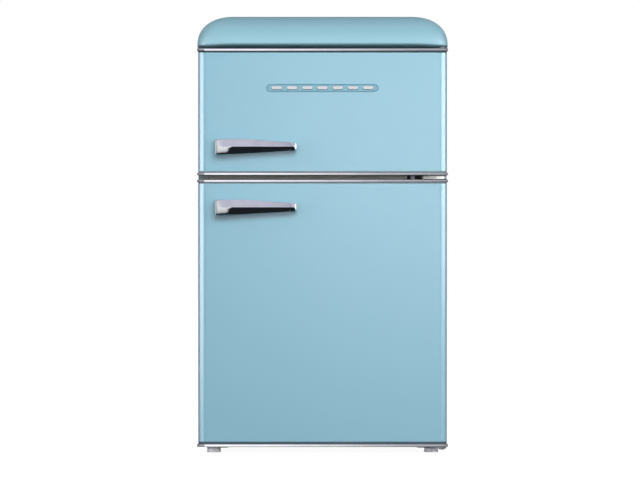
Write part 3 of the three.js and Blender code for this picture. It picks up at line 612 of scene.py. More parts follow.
def door_plan(inset, front, back, half=DOOR_HALF, steps=14):
    """A closed plan with round front edges."""
    radius = max(DOOR_RADIUS - inset, 1.0)
    return rounded((-half + inset, half - inset), (front + inset, back), [radius, radius, 0.8, 0.8], steps)


def door_panel(door):
    """The painted sheet, folded round both sides and hemmed behind."""
    _, (front, back), (low, high) = extent(f"{door}_skin")

    def path(inset):
        half, radius, rear = DOOR_HALF - inset, DOOR_RADIUS - inset, back - inset
        hem = half - 8.5 + inset
        sides = []
        for side, start in ((-1, 180), (1, 270)):
            x, y = side * (half - radius), front + inset + radius
            turn = arc(start, start + 90, 16)
            sides.append([(x + radius * math.cos(t), y + radius * math.sin(t)) for t in turn])
        flat = [(half * k / 6, front + inset) for k in range(-4, 5, 2)]
        return [(-hem, rear), (-half, rear), *sides[0], *flat, *sides[1], (half, rear), (hem, rear)]

    ring = path(0.0) + path(1.0)[::-1]
    form = Form()
    count, span = len(ring), len(ring) // 2
    levels = [low, low + 0.6, (low + high) / 2, high - 0.6, high]
    form.loft([[(x, y, z) for x, y in ring] for z in levels], closed=False)
    for level in (0, len(levels) - 1):
        start = level * count
        for i in range(span - 1):
            form.face(start + i, start + i + 1, start + count - 2 - i, start + count - 1 - i)
    return make(form, f"{door}_panel", door, ENAMEL, [f"{door}_skin"], 40)


# For each bead, the height and finish of the line between it and the paint, which is painted shade of the
# groove there, and how soft its outer edge is.
BEAD_LINES = {
    ("freezer_door", "top"): (2.5, SHADE_LINE_DARK, 2.4),
    ("freezer_door", "bottom"): (2.6, SHADE_LINE_PALE, 0.8),
    ("fridge_door", "top"): (2.2, SHADE_LINE_PALE, 1.2),
    ("fridge_door", "bottom"): (4.3, SHADE_LINE_GREY, 1.0),
}


def door_bead(door, place):
    """A plated moulding, with painted shade: a dark line where it meets the paint."""
    node = f"{door}_{place}_trim"
    _, (front, back), (low, high) = extent(node)
    far, step = (low, 1) if place == "bottom" else (high, -1)
    tall = high - low
    line, dark, soft = BEAD_LINES[door, place]
    edge = tall - line
    bright = [
        (-2.6, 0.0), (0.2, 0.0), (1.2, 0.1 * soft), (1.7, 0.3 * soft), (1.93, 0.6 * soft), (2.0, 1.0 * soft),
        (2.0, edge - 1.0), (1.75, edge - 0.5), (1.1, edge - 0.15),
    ]
    sunk = [(0.2, edge), (-0.5, edge), (-0.6, edge + 0.3), (-0.2, tall - 0.5), (-0.2, tall), (-2.6, tall)]
    rings = []
    for proud, t in bright + sunk:
        plan = door_plan(2.0 - proud, front, back, DOOR_HALF + 2.0)
        rings.append([(x, y, far + step * t) for x, y in plan])
    # the sunk faces carry the painted shade line
    form = Form().loft(rings, finish=lambda s: int(s >= len(bright)))
    return make(form, f"{door}_{place}_bead", door, [BEAD_CHROME, dark], [node], 60)


def door_inner(door, ring_low, ring_high):
    """The vacuum-formed inner face, with its raised ring."""
    x, (front, back), z = extent(f"{door}_liner")
    plate = front + 2
    outer = [(0.0, front), (0.0, plate - 0.5), (0.15, plate - 0.15), (0.5, plate)]
    dyke = [
        (-4.5, plate), (-2.2, plate + 0.4), (-0.9, plate + 1.4), (-0.1, plate + 3.2), (1.2, back - 7.0),
        (1.7, back - 4.0), (2.7, back - 1.8), (4.3, back - 0.5), (6.4, back), (12.6, back),
        (14.7, back - 0.5), (16.3, back - 1.8), (17.3, back - 4.0), (17.8, back - 7.0),
        (18.6, plate + 2.4), (19.2, plate + 1.0), (20.2, plate + 0.3), (21.6, plate),
    ]
    rings = [section("y", x, z, y, inset, 3, 8) for inset, y in outer]
    for inset, y in dyke:
        corner = 14 - 0.2 * max(inset, 0)
        rings.append(section("y", (-184.0, 184.0), (ring_low, ring_high), y, inset, corner, 8))
    form = Form().loft(rings)
    return make(form, f"{door}_inner_face", door, WHITE, [f"{door}_liner"], 40)


SEAL_PROFILE = [
    (2.5, 0.0), (13.5, 0.0), (14.2, 0.7), (13.5, 1.5), (10.5, 1.8), (11.4, 2.6), (11.9, 3.5), (11.4, 4.4),
    (10.5, 5.0), (14.4, 5.3), (15.7, 6.2), (16.0, 7.8), (15.6, 9.0), (14.9, 9.4), (1.1, 9.4), (0.4, 9.0),
    (0.0, 7.8), (0.3, 6.2), (1.6, 5.3), (5.5, 5.0), (4.2, 4.4), (3.5, 3.5), (4.2, 2.6), (5.5, 1.8),
    (2.5, 1.5), (1.8, 0.7),
]


def door_seal(door):
    """A bellows with a magnet strip's pocket along its outer side."""
    x, (front, _), z = extent(f"{door}_gasket")
    profile = [(inset, front + out, max(6 - inset, 0.6)) for inset, out in SEAL_PROFILE]
    form = Form().loft([section("y", x, z, y, inset, corner, 5) for inset, y, corner in profile], loop=True)
    return make(form, f"{door}_seal", door, SEAL, [f"{door}_gasket"], 30)


def handle(door):
    """A bar that tapers to the right, with a crease along its front that fades into a blunt nose."""
    (x0, x1), (reach, foot), (low, high) = extent(f"{door}_handle")
    middle, thick = (low + high) / 2, 15.0
    left, right, grip = x0 + thick / 2, x1 - thick / 2, reach + thick / 2
    path = bent([(left, foot, 0), (left, grip, 0), (right, grip, 0), (right, foot, 0)], 9.5, 14)
    whole = [path[0], path[0].lerp(path[1], 0.5), *path[1:15]]
    whole += [path[15].lerp(path[16], k / 36) for k in range(37)]
    whole += [*path[17:31], path[30].lerp(path[31], 0.5), path[31]]
    rings = []
    for i, point in enumerate(whole):
        heading = (whole[min(i + 1, len(whole) - 1)] - whole[max(i - 1, 0)]).normalized()
        outward = heading.cross(Vector((0, 0, 1)))
        share = clamp((point.x - left) / (right - left))
        crown = 14.4 - 6.8 * max(0.0, (share - 0.4) / 0.6)
        keel = 15.7 - 7.9 * share
        blunt = clamp((0.985 - share) / 0.02)
        upper = blunt * clamp((share - 0.01) / 0.08)
        lower = blunt * clamp((share - 0.12) / 0.1)
        ring = []
        for t in ring_angles(48):
            rise, out = math.sin(t), math.cos(t)
            tall, crease = (crown, upper) if rise > 0 else (keel, lower)
            round_out = math.copysign(abs(out) ** 0.13, out)
            facet = 1.0 - abs(rise) ** 0.95 if out > 0 else round_out
            lift = math.copysign(abs(rise) ** 0.9, rise) * tall
            reach_out = thick / 2 * (round_out * (1 - crease) + facet * crease)
            ring.append(point + outward * reach_out + Vector((0, 0, middle + lift)))
        rings.append(ring)
    form = Form().loft(rings)
    return make(form, f"{door}_handle_bar", door, CHROME, [f"{door}_handle"], 38)


def name_bar():
    """A blank badge in the door's colour, with a row of plain bright lozenges."""
    x, (face, seat), z = extent("badge_bar")
    middle, radius = sum(z) / 2, (z[1] - z[0]) / 2
    rim = [
        (0.0, seat), (0.0, face + 0.9), (0.3, face + 0.3), (0.9, face), (1.5, face + 0.3), (1.8, face + 1.0),
        (1.9, seat - 0.5),
    ]
    form = Form().loft([section("y", x, z, y, inset, radius - inset - 0.05, 10) for inset, y in rim])
    form.finish = [1] * len(form.faces)
    count, long, tall, margin = 7, 10.5, 3.6, 20
    for k in range(count):
        at = x[0] + margin + (x[1] - x[0] - 2 * margin) * k / (count - 1)
        lozenge = (about(at, long), (face + 0.3, seat - 0.4), about(middle, tall))
        form.pillow(*lozenge, tall - 0.1, 1.0, "y", 8)
    return make(form, "name_bar", "freezer_door", [CHROME, ENAMEL], ["badge_bar"], 50)


# ------------------------------------------------------------------ bins, drawer and trays


def tray(x, y, z, corner, wall, low_rim=None, foot=4.0):
    """An open container with a rolled rim. low_rim is (y, height): the rim falls to that height before y."""

    def rim_height(v):
        if not low_rim:
            return z[1]
        limit, height = low_rim
        share = clamp((v - limit) / 14.0)
        return height + (z[1] - height) * share * share * (3 - 2 * share)

    def ring(inset, height_at):
        points = rounded(grown(x, -inset), grown(y, -inset), max(corner - inset, 0.5), 7)
        return [(u, v, height_at(v)) for u, v in points]

    def turn(inset, base, radius, angles):
        """The round edge of the floor."""
        for t in angles:
            level = base + radius * (1 - math.cos(t))
            rings.append(ring(inset + radius * (1 - math.sin(t)), lambda v, level=level: level))

    rings = []
    turn(0.6, z[0], foot, arc(0, 90, 4))
    rim = [(1.2, 4.2), (0.3, 3.6), (0.0, 2.2), (0.1, 0.9), (0.7, 0.2), (1.4, 0.0), (2.3, 0.2)]
    for inset, drop in [*rim, (wall + 0.5, 1.1), (wall + 0.7, 3.0)]:
        rings.append(ring(inset, lambda v, drop=drop: rim_height(v) - drop))
    turn(wall + 0.7, z[0] + wall, foot - 1, arc(90, 0, 4))
    return Form().loft(rings)


def door_bin(node, body):
    x, y, z = extent(node)
    form = tray(x, y, z, 12.0, 2.5, (y[0] + 4.0, (z[0] + z[1]) / 2))
    front = (y[1] - 0.9, y[1] - 0.1)
    for share in (0.44, 0.64):
        height = z[0] + (z[1] - z[0]) * share
        form.pillow(grown(x, -14), front, about(height, 1.1), 1.0, 0.3, "y")
    return make(form, f"{node}_tub", body, CLEAR, [node], 40)


def crisper():
    """The drawer, with a grip and ribs on its front."""
    x, (grip_front, back), z = extent("crisper_drawer")
    front = grip_front + 5.5
    form = tray(x, (front, back), z, 10.0, 2.5, foot=8.0)
    form.pillow((-70, 70), (grip_front, front + 0.8), (z[1] - 15.5, z[1] - 0.6), 5.0, 1.4, "y", 8)
    for place in range(-150, 151, 30):
        rib = (z[0] + 14, z[1] - 26)
        form.pillow(about(place, 1.2), (front + 0.1, front + 1.2), rib, 1.0, 0.4, "y")
    return make(form, "crisper_tub", "crisper_drawer", CLEAR, ["crisper_drawer"], 40)


def drip_pan():
    form = tray(*extent("drip_tray"), 10.0, 2.0)
    return make(form, "drip_pan", "cabinet", WHITE, ["drip_tray"], 40)


# ------------------------------------------------------------------ compartments


def compartment(node, room_x, room_z, depth, step=None, ledges=()):
    """A formed liner: frame flange, rounded mouth, room, rounded back and shelf ledges.

    step is the (front, top) of the hump, where the room's floor rises. A ledge is its (top, back).
    """
    (x0, x1), (front, _), (low, high) = extent(node)
    wall, fillet, rear, mouth, bend, corner = 2.0, 2.4, 8.0, 8.0, 10.0, 18.0
    hump_front, hump_top = step or (0.0, 0.0)
    outer_split = hump_top + corner if step else 0.0
    inner_split = hump_top - bend + corner if step else 0.0

    def cut(points, split, right, left, y):
        """A section with a point more on both sides, so that a rising floor meets them."""
        section = [*points[:18], (right, split), *points[18:], (left, split)]
        return [put("y", p, q, y) for p, q in section]

    def ring(grow, y, floor=None, split=inner_split):
        u, v = grown(room_x, grow), grown(room_z, grow)
        v = (v[0] if floor is None else floor, v[1])
        radius = corner + max(grow, 0.0)
        return cut(rounded(u, v, radius, 8), max(split, v[0] + radius), u[1], u[0], y)

    def frame_ring(inset, y):
        points = rounded(grown((x0, x1), -inset), grown((low, high), -inset), 1.5, 8)
        return cut(points, max(inner_split, low + 30), x1 - inset, x0 + inset, y)

    if step:
        rings = [
            ring(wall, depth + wall, hump_top - wall, outer_split),
            ring(wall, hump_front + wall, hump_top - wall, outer_split),
            ring(wall, hump_front + wall, None, outer_split),
        ]
    else:
        rings = [ring(wall, depth + wall, None, outer_split)]
    rings.append(ring(wall, front + wall, None, outer_split))
    rings += [frame_ring(0, front + wall), frame_ring(0, front + 0.4), frame_ring(0.4, front)]
    for t in arc(0, 90, 4):
        rings.append(ring(fillet * (1 - math.sin(t)), front + fillet * (1 - math.cos(t))))
    floor = room_z[0]
    if step:
        for t in arc(0, 90, 5):
            rings.append(ring(0, hump_front - mouth * (1 - math.sin(t)), floor + mouth * (1 - math.cos(t))))
        floor = hump_top
        for t in arc(0, 90, 5):
            rings.append(ring(0, hump_front + bend * (1 - math.cos(t)), floor - bend * (1 - math.sin(t))))
    for t in arc(0, 90, 6):
        shrink = rear * (1 - math.cos(t))
        rings.append(ring(-shrink, depth - rear * (1 - math.sin(t)), floor + shrink))
    form = Form().loft(rings)
    for top, back in ledges:
        for x in ((186.0, 195.0), (-195.0, -186.0)):
            form.pillow(x, (-90, back), (top - 6, top - 0.3), 2.0, 1.5, "y")
    name = node.replace("_liner", "_room")
    return make(form, name, "cabinet", WHITE, [node], 35)


def glass_shelf(node, finish):
    """A plate with ground edges, and the moulded rails in front of it and behind."""
    x, y, z = extent(node)
    plate, rails = Form(), Form()
    plate.pillow(x, y, z, 8.0, 0.8, "z", 8)
    make(plate, f"{node}_plate", "cabinet", finish, [node], 40)
    wide = grown(x, -7)
    rails.pillow(wide, (y[0] - 1.6, y[0] + 14), (z[0] - 1.6, z[1] + 1.6), 2.2, 1.2, "x")
    rails.pillow(wide, (y[1] - 10, y[1] + 1.0), (z[0] - 1.4, z[1] + 6.0), 2.0, 1.0, "x")
    make(rails, f"{node}_rails", "cabinet", WHITE)


def wire_shelf():
    """Four cross bars with a row of thin wires, turned down in front, on top of them."""
    x, y, z = extent("freezer_shelf")
    middle, thick, thin = z[0] + 2.5, 2.5, 1.8
    front, back = y[0] + thick, y[1] - thick
    form = Form()
    bars = [(place, middle, thick) for place in (front, back)]
    bars += [(place, middle - 0.9, thin) for place in (y[0] + 60, y[1] - 60)]
    for place, height, radius in bars:
        form.rod((x[0] + 0.5, place, height), (x[1] - 0.5, place, height), radius, 14)
    for k in range(-13, 14):
        at = k * 14.2
        wire = [(at, front, middle - 3), (at, front, middle + 3), (at, back, middle + 3)]
        form.tube(bent(wire, 1.8, 3), 1.4, 10)
    return make(form, "freezer_wire_shelf", "cabinet", CHROME, ["freezer_shelf"], 40)


def controls():
    """The thermostat housing with its marks and vents, the lens, the knob and the light switch."""
    x, y, z = extent("thermostat_housing")
    (knob_face, _), knob_y, knob_z = extent("thermostat_knob")
    cy, cz = sum(knob_y) / 2, sum(knob_z) / 2
    face = x[0]
    box = Form().pillow(x, y, z, 8.0, 2.5, "x", 8)
    make(box, "control_box", "cabinet", WHITE, ["thermostat_housing"], 40)

    marks = Form()
    for k, t in enumerate(arc(-45, 225, 6)):
        size = 0.9 + 0.16 * k
        dot = [(size, face + 0.2), (size, face - 0.25), (size * 0.7, face - 0.35)]
        marks.turned(dot, (0, cy + 20.6 * math.cos(t), cz + 20.6 * math.sin(t)), "x", 20)
    for k in range(9):
        at = y[0] + 14 + k * 7
        marks.pillow((face - 0.25, face + 0.3), about(at, 1.6), grown(z, -14), 1.4, 0.15, "x")
    make(marks, "control_marks", "cabinet", BLACK_PLASTIC)

    lens_x, lens_y, lens_z = extent("lamp_lens")
    lens = Form().pillow((lens_x[0] + 0.6, lens_x[1]), lens_y, lens_z, 9.0, 3.0, "x", 8)
    for k in range(12):
        at = lens_y[0] + 8 + k * (lens_y[1] - lens_y[0] - 16) / 11
        lens.pillow((lens_x[0], lens_x[0] + 2), about(at, 1.2), grown(lens_z, -5), 1.0, 0.6, "x", 3)
    make(lens, "lamp_cover", "cabinet", LENS, ["lamp_lens"], 40)

    base = face - 0.3
    skirt = [(3, 9), (3, 0), (16.4, 0), (17, -0.6), (17, -3.4), (16.3, -4.3), (15, -4.7), (12, -4.4)]
    dial = Form().turned(skirt, (base, cy, cz), "x", 60)
    dial.pillow((knob_face, base - 4), about(cy, 4.3), about(cz, 15), 3.0, 1.6, "x", 6)
    pointer = (cz + 4, cz + 13)
    dial.pillow((knob_face, knob_face + 1), about(cy, 0.8), pointer, 0.7, 0.3, "x", 3, lambda s: 1)
    for t in ring_angles(30):
        rib = (base, cy + 16.6 * math.cos(t), cz + 16.6 * math.sin(t))
        dial.turned([(0.7, -0.8), (0.7, -3.4), (0.3, -3.9)], rib, "x", 8)
    looks = [WHITE, BLACK_PLASTIC]
    make(dial, "thermostat_dial", "thermostat_knob", looks, ["thermostat_knob"], 40)

    x, (tip, end), z = extent("light_switch_plunger")
    nose = [(THIN, tip), (1.2, tip + 0.1), (2.0, tip + 0.5), (2.6, tip + 1.2), (3.5, tip + 2.2)]
    button = Form().turned([*nose, (3.5, end - 0.4), (3.1, end)], (sum(x) / 2, 0, sum(z) / 2), "y", 28)
    body = "light_switch_plunger"
    make(button, "light_switch_button", body, WHITE, ["light_switch_plunger"], 40)


# ------------------------------------------------------------------ feet, hinges and screws


def foot(node, body, stud=True):
    """A ribbed cup on a threaded stud."""
    x, y, z = extent(node)
    cx, cy, radius = sum(x) / 2, sum(y) / 2, (x[1] - x[0]) / 2
    top, sides, pitch = 11.4 if stud else z[1], 48, 1.25
    profile = [
        (0.55, 0.0), (0.86, 0.0), (0.94, 0.25), (0.985, 0.9), (1.0, 1.8), (0.97, 3.0), (0.955, 4.5),
        (0.94, top - 2.4), (0.965, top - 1.9), (0.965, top - 0.9), (0.93, top - 0.3), (0.86, top),
    ]
    rings = []
    for share, height in profile:
        ring = []
        for k, t in enumerate(ring_angles(sides)):
            groove = 0.045 if k % 4 == 0 and 2.0 < height < top - 2 else 0
            r = radius * share * (1 - groove)
            ring.append((cx + r * math.cos(t), cy + r * math.sin(t), height))
        rings.append(ring)
    form = Form().loft(rings)
    if stud:
        thread = [(3.4, top - 0.5)]
        for k in range(int((z[1] - top) / pitch)):
            base = top + k * pitch
            thread += [(3.4, base + 0.1), (4.0, base + 0.5), (4.0, base + 0.75), (3.4, base + 1.15)]
        thread += [(3.2, z[1] - 0.3), (2.6, z[1])]
        form.turned(thread, (cx, cy, 0), "z", 24, finish=lambda s: 1)
        form.finish[-2:] = [1, 1]
    return make(form, f"{node}_cup", body, [GREY_PLASTIC, ZINC], [node], 40)


def hinge_screws():
    """Two black heads on the middle hinge, the right one on a plug."""
    for side, number, radius in (("left", 1, 4.2), ("right", 2, 3.2)):
        node = f"middle_hinge_screw_{number}"
        x, (_, seat), z = extent(node)
        middle, height = sum(x) / 2, sum(z) / 2
        form = Form()
        if side == "right":
            plug = (about(middle, 7.4), (seat - 1.0, seat), about(height, 3.6))
            form.pillow(*plug, 3.5, 0.4, "y", 8)
            seat -= 1.0
        form.screw((middle, seat, height), "y", -1, radius)
        make(form, f"hinge_screw_{side}", "cabinet", BLACK_METAL, [node], 35)


def hinge_flange():
    """The turned-up edge along the front of the middle hinge's arm."""
    low, high, soft = 527.9, 533.7, 0.3
    plan = [
        (194.5, -199.0), (220.0, -227.0), (234.0, -227.0), (234.0, -225.6), (220.6, -225.6), (195.6, -198.2),
    ]
    form = Form().loft([[(x, y, z) for x, y in plan] for z in (low, low + soft, high - soft, high)])
    return make(form, "hinge_arm_flange", "cabinet", SATIN, (), 30)


def bushes(door, top_out, bottom_out):
    """A thin plastic ring at each end of a door, where its hinge pin enters. It stands out by so much."""
    form = Form()
    for place, edge, out in (("top", 1, top_out), ("bottom", 0, bottom_out)):
        level = extent(f"{door}_{place}_trim")[2][edge]
        deep = -3.0 if edge else 3.0
        profile = [(4.6, deep), (4.35, out * 0.9), (4.6, out), (6.4, out), (6.8, out * 0.7), (6.8, deep)]
        form.turned(profile, (*HINGE_PIN, level), "z", 32, loop=True)
    make(form, f"{door}_hinge_bushes", door, BLACK_PLASTIC)


def panel_screws():
    """Screws round the back panel and through the condenser's brackets."""
    x, (_, back), z = extent("back_panel")
    form = Form()
    for side in (x[0] + 9, x[1] - 9):
        for k in range(5):
            form.screw((side, back, z[0] + 24 + (z[1] - z[0] - 48) * k / 4), "y", 1, 3.6)
    for place in (-118.0, 0.0, 118.0):
        form.screw((place, back, z[1] - 9), "y", 1, 3.6)
    for node in ("condenser_bracket_lower", "condenser_bracket_upper"):
        x, (front, _), z = extent(node)
        for place in (x[0] + 10, x[0] + 96, x[1] - 96, x[1] - 10):
            form.screw((place, front + 2.0, sum(z) / 2 + 1.5), "y", 1, 3.4)
    return make(form, "back_screws", "cabinet", ZINC, (), 35)


# ------------------------------------------------------------------ cooling circuit


def condenser_grid():
    """Wire on tube: a serpentine with upright wires welded to both its sides."""
    _, (_, back), _ = extent("condenser")
    y, tube, wire, bottom, pitch, passes, half = 268.6, 2.4, 0.85, 215.0, 52.0, 11, 190.0
    top = bottom + pitch * (passes - 1)
    corners = [(-14, 226, 145), (-14, y, 145), (half, y, 145)]
    for k in range(passes):
        ends = (half, -half) if k % 2 == 0 else (-half, half)
        corners += [(end, y, bottom + pitch * k) for end in ends]
    corners.pop()
    corners += [(-206, y, top), (-206, y, 150), (-206, 222, 150), (-206, 222, 131)]
    form = Form().tube(bent(corners, 15.0, 7), tube, 14)
    count, reach = 44, 170
    for k in range(count):
        place = -reach + 2 * reach * k / (count - 1)
        form.rod((place, back - wire, bottom - 9), (place, back - wire, top + 9), wire, 8)
    reach, inner = 166, y - tube - 0.7
    for k in range(count - 1):
        place = -reach + 2 * reach * k / (count - 2)
        if min(abs(place - tab) for tab in (-160, -50, 50, 160)) > 9:
            form.rod((place, inner, bottom - 9), (place, inner, top + 9), wire, 8)
    return make(form, "condenser_grid", "cabinet", BLACK_METAL, ["condenser"], 40)


def drier():
    """The filter drier with its crimp rings and the capillary that leaves it."""
    x, y = -206, 222
    bottle = [
        (3, 44), (3, 49), (3.6, 50.5), (6.5, 53.5), (8.6, 57), (9, 60), (9, 115), (8.6, 118), (6.5, 121.5),
        (3.6, 124.5), (3, 126), (3, 130.7),
    ]
    form = Form().turned(bottle, (x, y, 0), "z", 32)
    for level in (64, 111):
        form.turned([(9, -1.4), (9.5, -0.9), (9.5, 0.9), (9, 1.4)], (x, y, level), "z", 32)
    lead = [(x, y, 48), (x, y, 22), (x, 236, 22), (104.8, 236, 22), (104.8, 236, 150), (104.8, y, 150)]
    form.tube(bent(lead, 6.0, 5), 1.2, 10)
    return make(form, "drier_bottle", "cabinet", COPPER, ["filter_drier"], 35)


def compressor_can():
    """A deep-drawn can with its weld seam, foot plate, terminal fence and pipe stubs."""
    x, y, base, top = -60.0, 168.0, 28.0, 165.0
    rx, ry, seam = 85.0, 60.0, 1.03
    can = [
        (0.0, 2), (0.74, 2), (0.82, 3.2), (0.89, 6.5), (0.945, 12), (0.975, 20), (0.995, 34), (1.0, 62),
        (1.005, 63.5), (seam, 64.5), (seam, 69.5), (1.005, 70.5), (0.998, 72),
    ]
    lid = [
        (0.998, 45), (0.985, 33), (0.955, 23), (0.90, 14.5), (0.82, 8.5), (0.7, 4.3), (0.52, 1.5), (0.3, 0.3),
        (0.0, 0.0),
    ]
    outline = [(share / seam, base + up) for share, up in can]
    outline += [(share / seam, top - down) for share, down in lid]
    form = Form().turned(outline, (x, y, 0), "z", 72, (rx, ry))
    form.pillow((x - 84, x + 84), (y - 58, y + 58), (base, base + 3), 14, 0.8, "z", 8)
    for right, back, height in ((60, 20, 96), (56, -26, 84)):
        start = Vector((x + right, y + back, height))
        form.tube(bent([start, start + Vector((22, 0, 0)), start + Vector((22, 0, 26))], 6, 5), 3.0, 14)
    form.turned([(9, 70), (9, 74), (8, 75), (6, 75)], (x, y + ry - 8, 0), "z", 24)
    return make(form, "compressor_can", "cabinet", BLACK_METAL, ["compressor"], 40)


def mounts():
    """The compressor's four rubber bushes, and a washer, a nut and a bolt's end on each."""
    bolts = Form()
    for k in range(1, 5):
        node = f"compressor_grommet_{k}"
        x, y, (low, high) = extent(node)
        centre = (sum(x) / 2, sum(y) / 2, 0)
        lower = [(8.4, 0), (9, 0.6), (9, 3.4), (8.4, 4.2), (6.5, 5.4), (6.2, 6.6)]
        upper = [(6.2, 3.4), (6.9, 2.0), (7.8, 1.0), (8, 0.5), (7.7, 0)]
        profile = [(r, low + up) for r, up in lower] + [(r, high - down) for r, down in upper]
        bush = Form().turned(profile, centre, "z", 32)
        make(bush, f"{node}_bush", "cabinet", BLACK_RUBBER, [node], 40)
        bolts.turned([(7.5, 31.0), (7.5, 32.2), (7.2, 32.4)], centre, "z", 32)
        bolts.turned([(5.2, 32.3), (5.2, 36.6), (4.6, 37.2)], centre, "z", 6)
        bolts.turned([(2.6, 37.0), (2.6, 41.0), (2.1, 41.6)], centre, "z", 20)
    make(bolts, "compressor_bolts", "cabinet", ZINC, (), 35)


def gland():
    """The rubber ring where a mains lead leaves."""
    x, (front, back), z = extent("cord_gland")
    rim = [
        (6.6, 4.8), (7.6, 4.3), (9.6, 4.3), (10, 3.6), (10, 1.4), (9.3, 0.5), (7.8, 0), (4.6, 0), (3.6, 0.8),
    ]
    profile = [(6.6, front), *((radius, back - down) for radius, down in rim), (3.6, front)]
    form = Form().turned(profile, (sum(x) / 2, 0, sum(z) / 2), "y", 36, loop=True)
    return make(form, "lead_gland", "cabinet", BLACK_RUBBER, ["cord_gland"], 35)


def relay():
    """The cover of the starting relay, with four ribs."""
    x, y, z = extent("relay_cover")
    form = Form().pillow(x, y, z, 6, 2.0, "x", 6)
    for up in range(12, 43, 10):
        form.pillow((x[0], x[0] + 1.2), grown(y, -10), (z[0] + up, z[0] + up + 3), 1.2, 0.5, "x")
    return make(form, "relay_box", "cabinet", BLACK_PLASTIC, ["relay_cover"], 35)


# ------------------------------------------------------------------ the object

cap = cap_shell()
painted = [cap, nodes["outer_wrapper"]]
plated = []
for door_name, ring_span in (("freezer_door", (566.0, 720.0)), ("fridge_door", (62.0, 496.0))):
    painted.append(door_panel(door_name))
    plated += [door_bead(door_name, place) for place in ("top", "bottom")]
    door_inner(door_name, *ring_span)
    door_seal(door_name)
    handle(door_name)
name_bar()
bushes("freezer_door", 0.45, -1.6)
bushes("fridge_door", 1.6, -0.3)
door_bin("freezer_door_rack", "freezer_door")
for node_name in ("fridge_door_shelf_upper", "fridge_door_shelf_middle", "fridge_door_bottle_bin"):
    door_bin(node_name, "fridge_door")
crisper()
room_width, room_back = (-194.0, 194.0), 193.0
compartment("freezer_liner", room_width, (556.0, 728.0), room_back, ledges=[(637.5, 189)])
ledges = [(408, 189), (318, 189), (228, 63)]
compartment("fridge_liner", room_width, (52.0, 505.0), room_back, (62.0, 225.0), ledges)
glass_shelf("glass_shelf_upper", GLASS)
glass_shelf("glass_shelf_lower", GLASS)
glass_shelf("crisper_cover", CLEAR)
wire_shelf()
controls()
feet = [foot(f"front_foot_{side}", f"front_foot_{side}") for side in ("left", "right")]
feet += [foot(f"rear_foot_{side}", "cabinet", stud=False) for side in ("left", "right")]
hinge_screws()
flange = hinge_flange()
panel_screws()
condenser_grid()
drier()
compressor_can()
mounts()
gland()
relay()
drip_pan()

for finish, bevel, kept in (
    (BODY_ENAMEL, 0.4, ["outer_wrapper"]),
    (ZINC, 0.4, ["back_panel", "base_pan", "compressor_tray"]),
    (STEEL, 0.3, ["mullion_rail", "base_rail"]),
    (ZINC, 0.5, ["top_hinge", "bottom_hinge"]),
    (HINGE_STEEL, 0.5, ["middle_hinge"]),
    (BLACK_METAL, 0.4, ["condenser_bracket_lower", "condenser_bracket_upper"]),
    (COPPER, 0, ["evaporator_coil"]),
    (FOAM, 0, ["cabinet_foam", "freezer_door_foam", "fridge_door_foam"]),
):
    for node_name in kept:
        keep(node_name, finish, bevel)


# ------------------------------------------------------------------ stage and light


def stage_floor():
    """A pale floor that the camera sees. It glows, so that shadows on it stay faint."""
    mesh = bpy.data.meshes.new("floor")
    reach = 40.0
    corners = [(-reach, -reach, 0), (reach, -reach, 0), (reach, reach, 0), (-reach, reach, 0)]
    mesh.from_pydata(corners, [], [(0, 1, 2, 3)])
    floor = bpy.data.objects.new("floor", mesh)
    scene.collection.objects.link(floor)
    paint = Finish(
        "pale_floor", Base_Color=(0.3, 0.3, 0.3, 1), Roughness=0.9, Specular_IOR_Level=0.0,
        Emission_Color=(1, 1, 1, 1), Emission_Strength=0.95,
    )
    mesh.materials.append(paint.material)
    floor.visible_diffuse = floor.visible_glossy = floor.visible_transmission = False


def softbox(name, place, aim, size, power, glossy, only=()):
    """A soft light that either lights surfaces or is mirrored in them. It can reach some pieces only."""
    data = bpy.data.lights.new(name, "AREA")
    data.shape = "RECTANGLE"
    data.size, data.size_y = size
    data.energy = power
    made = bpy.data.objects.new(name, data)
    made.location = place
    made.rotation_euler = (Vector(aim) - Vector(place)).to_track_quat("-Z", "Y").to_euler()
    made.visible_camera = False
    made.visible_glossy = glossy
    made.visible_diffuse = not glossy
    made.visible_transmission = False
    scene.collection.objects.link(made)
    if only:
        receivers = bpy.data.collections.new(f"{name}_receivers")
        for piece in only:
            receivers.objects.link(piece)
        made.light_linking.receiver_collection = receivers


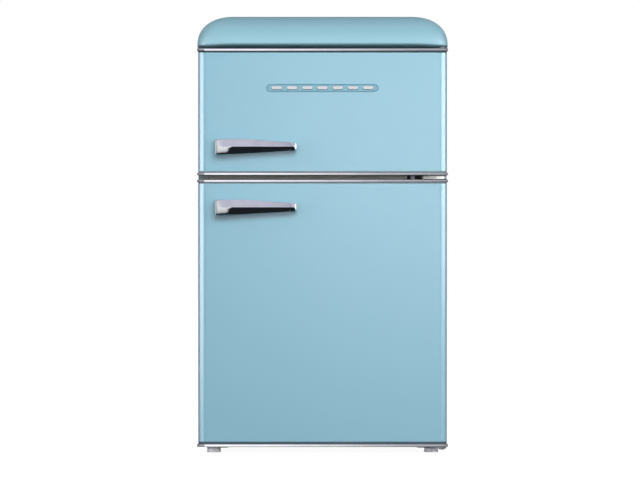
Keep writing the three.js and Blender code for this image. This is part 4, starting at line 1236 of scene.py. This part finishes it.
def sky():
    """White behind the object. Mirrored in it, lilac grey above, white at the horizon and black below."""
    world = bpy.data.worlds.new("studio")
    world.use_nodes = True
    scene.world = world
    net = Nodes(world.node_tree)
    net.tree.nodes.clear()
    place = net.node("ShaderNodeTexCoord").outputs["Generated"]
    split = net.node("ShaderNodeSeparateXYZ", {0: place}).outputs
    height = net.spread(split["Z"], 0, 1, -1, 1)
    rear = net.spread(split["Y"], 1.0, 0.45, -0.3, 0.5)
    path = net.node("ShaderNodeLightPath").outputs

    def glow(steps, strength):
        ramp = net.node("ShaderNodeValToRGB", {0: height})
        points = ramp.color_ramp.elements
        while len(points) < len(steps):
            points.new(0.5)
        for point, (at, value) in zip(points, steps):
            point.position = at
            point.color = (*value, 1)
        return net.node("ShaderNodeBackground", {0: ramp.outputs[0], 1: strength}).outputs[0]

    def choose(ray, others, these):
        return net.node("ShaderNodeMixShader", {0: path[ray], 1: others, 2: these}).outputs[0]

    lit = [
        (0.0, (0.03, 0.03, 0.03)), (0.40, (0.06, 0.06, 0.06)), (0.47, (0.5, 0.5, 0.5)),
        (0.50, (0.62, 0.62, 0.63)), (0.62, (0.62, 0.62, 0.63)), (0.8, (0.42, 0.42, 0.43)),
        (1.0, (0.36, 0.36, 0.37)),
    ]
    mirrored = [
        (0.0, (0.012, 0.014, 0.018)), (0.38, (0.012, 0.014, 0.018)), (0.46, (0.62, 0.64, 0.67)),
        (0.50, (0.86, 0.87, 0.88)), (0.57, (0.84, 0.85, 0.88)), (0.68, (0.66, 0.65, 0.75)),
        (1.0, (0.54, 0.54, 0.66)),
    ]
    white = net.node("ShaderNodeBackground", {0: (1, 1, 1, 1)}).outputs[0]
    around = choose("Is Glossy Ray", glow(lit, 1.0), glow(mirrored, rear))
    net.node("ShaderNodeOutputWorld", {0: choose("Is Camera Ray", around, white)})


stage_floor()
sky()
softbox("key", (0.4, -3.2, 1.5), (0, -0.24, 0.6), (2.0, 0.9), 82, False)
softbox("left_fill", (-2.6, -2.2, 0.9), (0, -0.2, 0.5), (1.0, 2.6), 28, False)
softbox("right_fill", (2.6, -2.2, 0.9), (0, -0.2, 0.5), (1.0, 2.6), 34, False)
softbox("back_left", (-2.4, 3.5, 2.2), (0, 0.2, 0.4), (3.0, 2.4), 50, False)
softbox("back_right", (2.4, 3.5, 2.2), (0, 0.2, 0.4), (3.0, 2.4), 50, False)
softbox("foot_fill", (0, -2.0, 0.15), (0, -0.15, 0.01), (1.2, 0.3), 18.0, False, feet)
softbox("cap_fill", (0, -1.0, 0.1), (0, -0.22, 0.8), (1.2, 0.3), 2.6, False, [cap])
with_rail = [*painted, nodes["mullion_rail"], nodes["middle_hinge"]]
with_flange = [*painted, flange]
softbox("high_gleam", (0.35, -3.0, 0.64), (0.2, -0.24, 0.62), (1.05, 0.4), 7.5, True, with_rail)
softbox("low_gleam", (0.35, -3.0, 0.3), (0.2, -0.24, 0.3), (1.05, 0.28), 2.6, True, with_flange)
softbox("left_edge_gleam", (-2.12, -1.09, 0.55), (-0.24, -0.25, 0.5), (2.7, 0.9), 60, True, with_flange)
softbox("right_edge_gleam", (2.12, -1.09, 0.72), (0.24, -0.25, 0.6), (2.7, 0.8), 62, True, with_flange)
# The mouldings mirror a card that fades out towards the right, in steps that their haze blurs.
CARD_LEFT, CARD_TALL = -0.6, 1.6
for right, glow in ((-0.15, 1.5), (-0.06, 1.5), (0.12, 0.8)):
    wide, middle = right - CARD_LEFT, (right + CARD_LEFT) / 2
    power = glow * math.pi * wide * CARD_TALL
    softbox("card", (middle, -3.0, 0.4), (middle, -0.24, 0.4), (wide, CARD_TALL), power, True, plated)
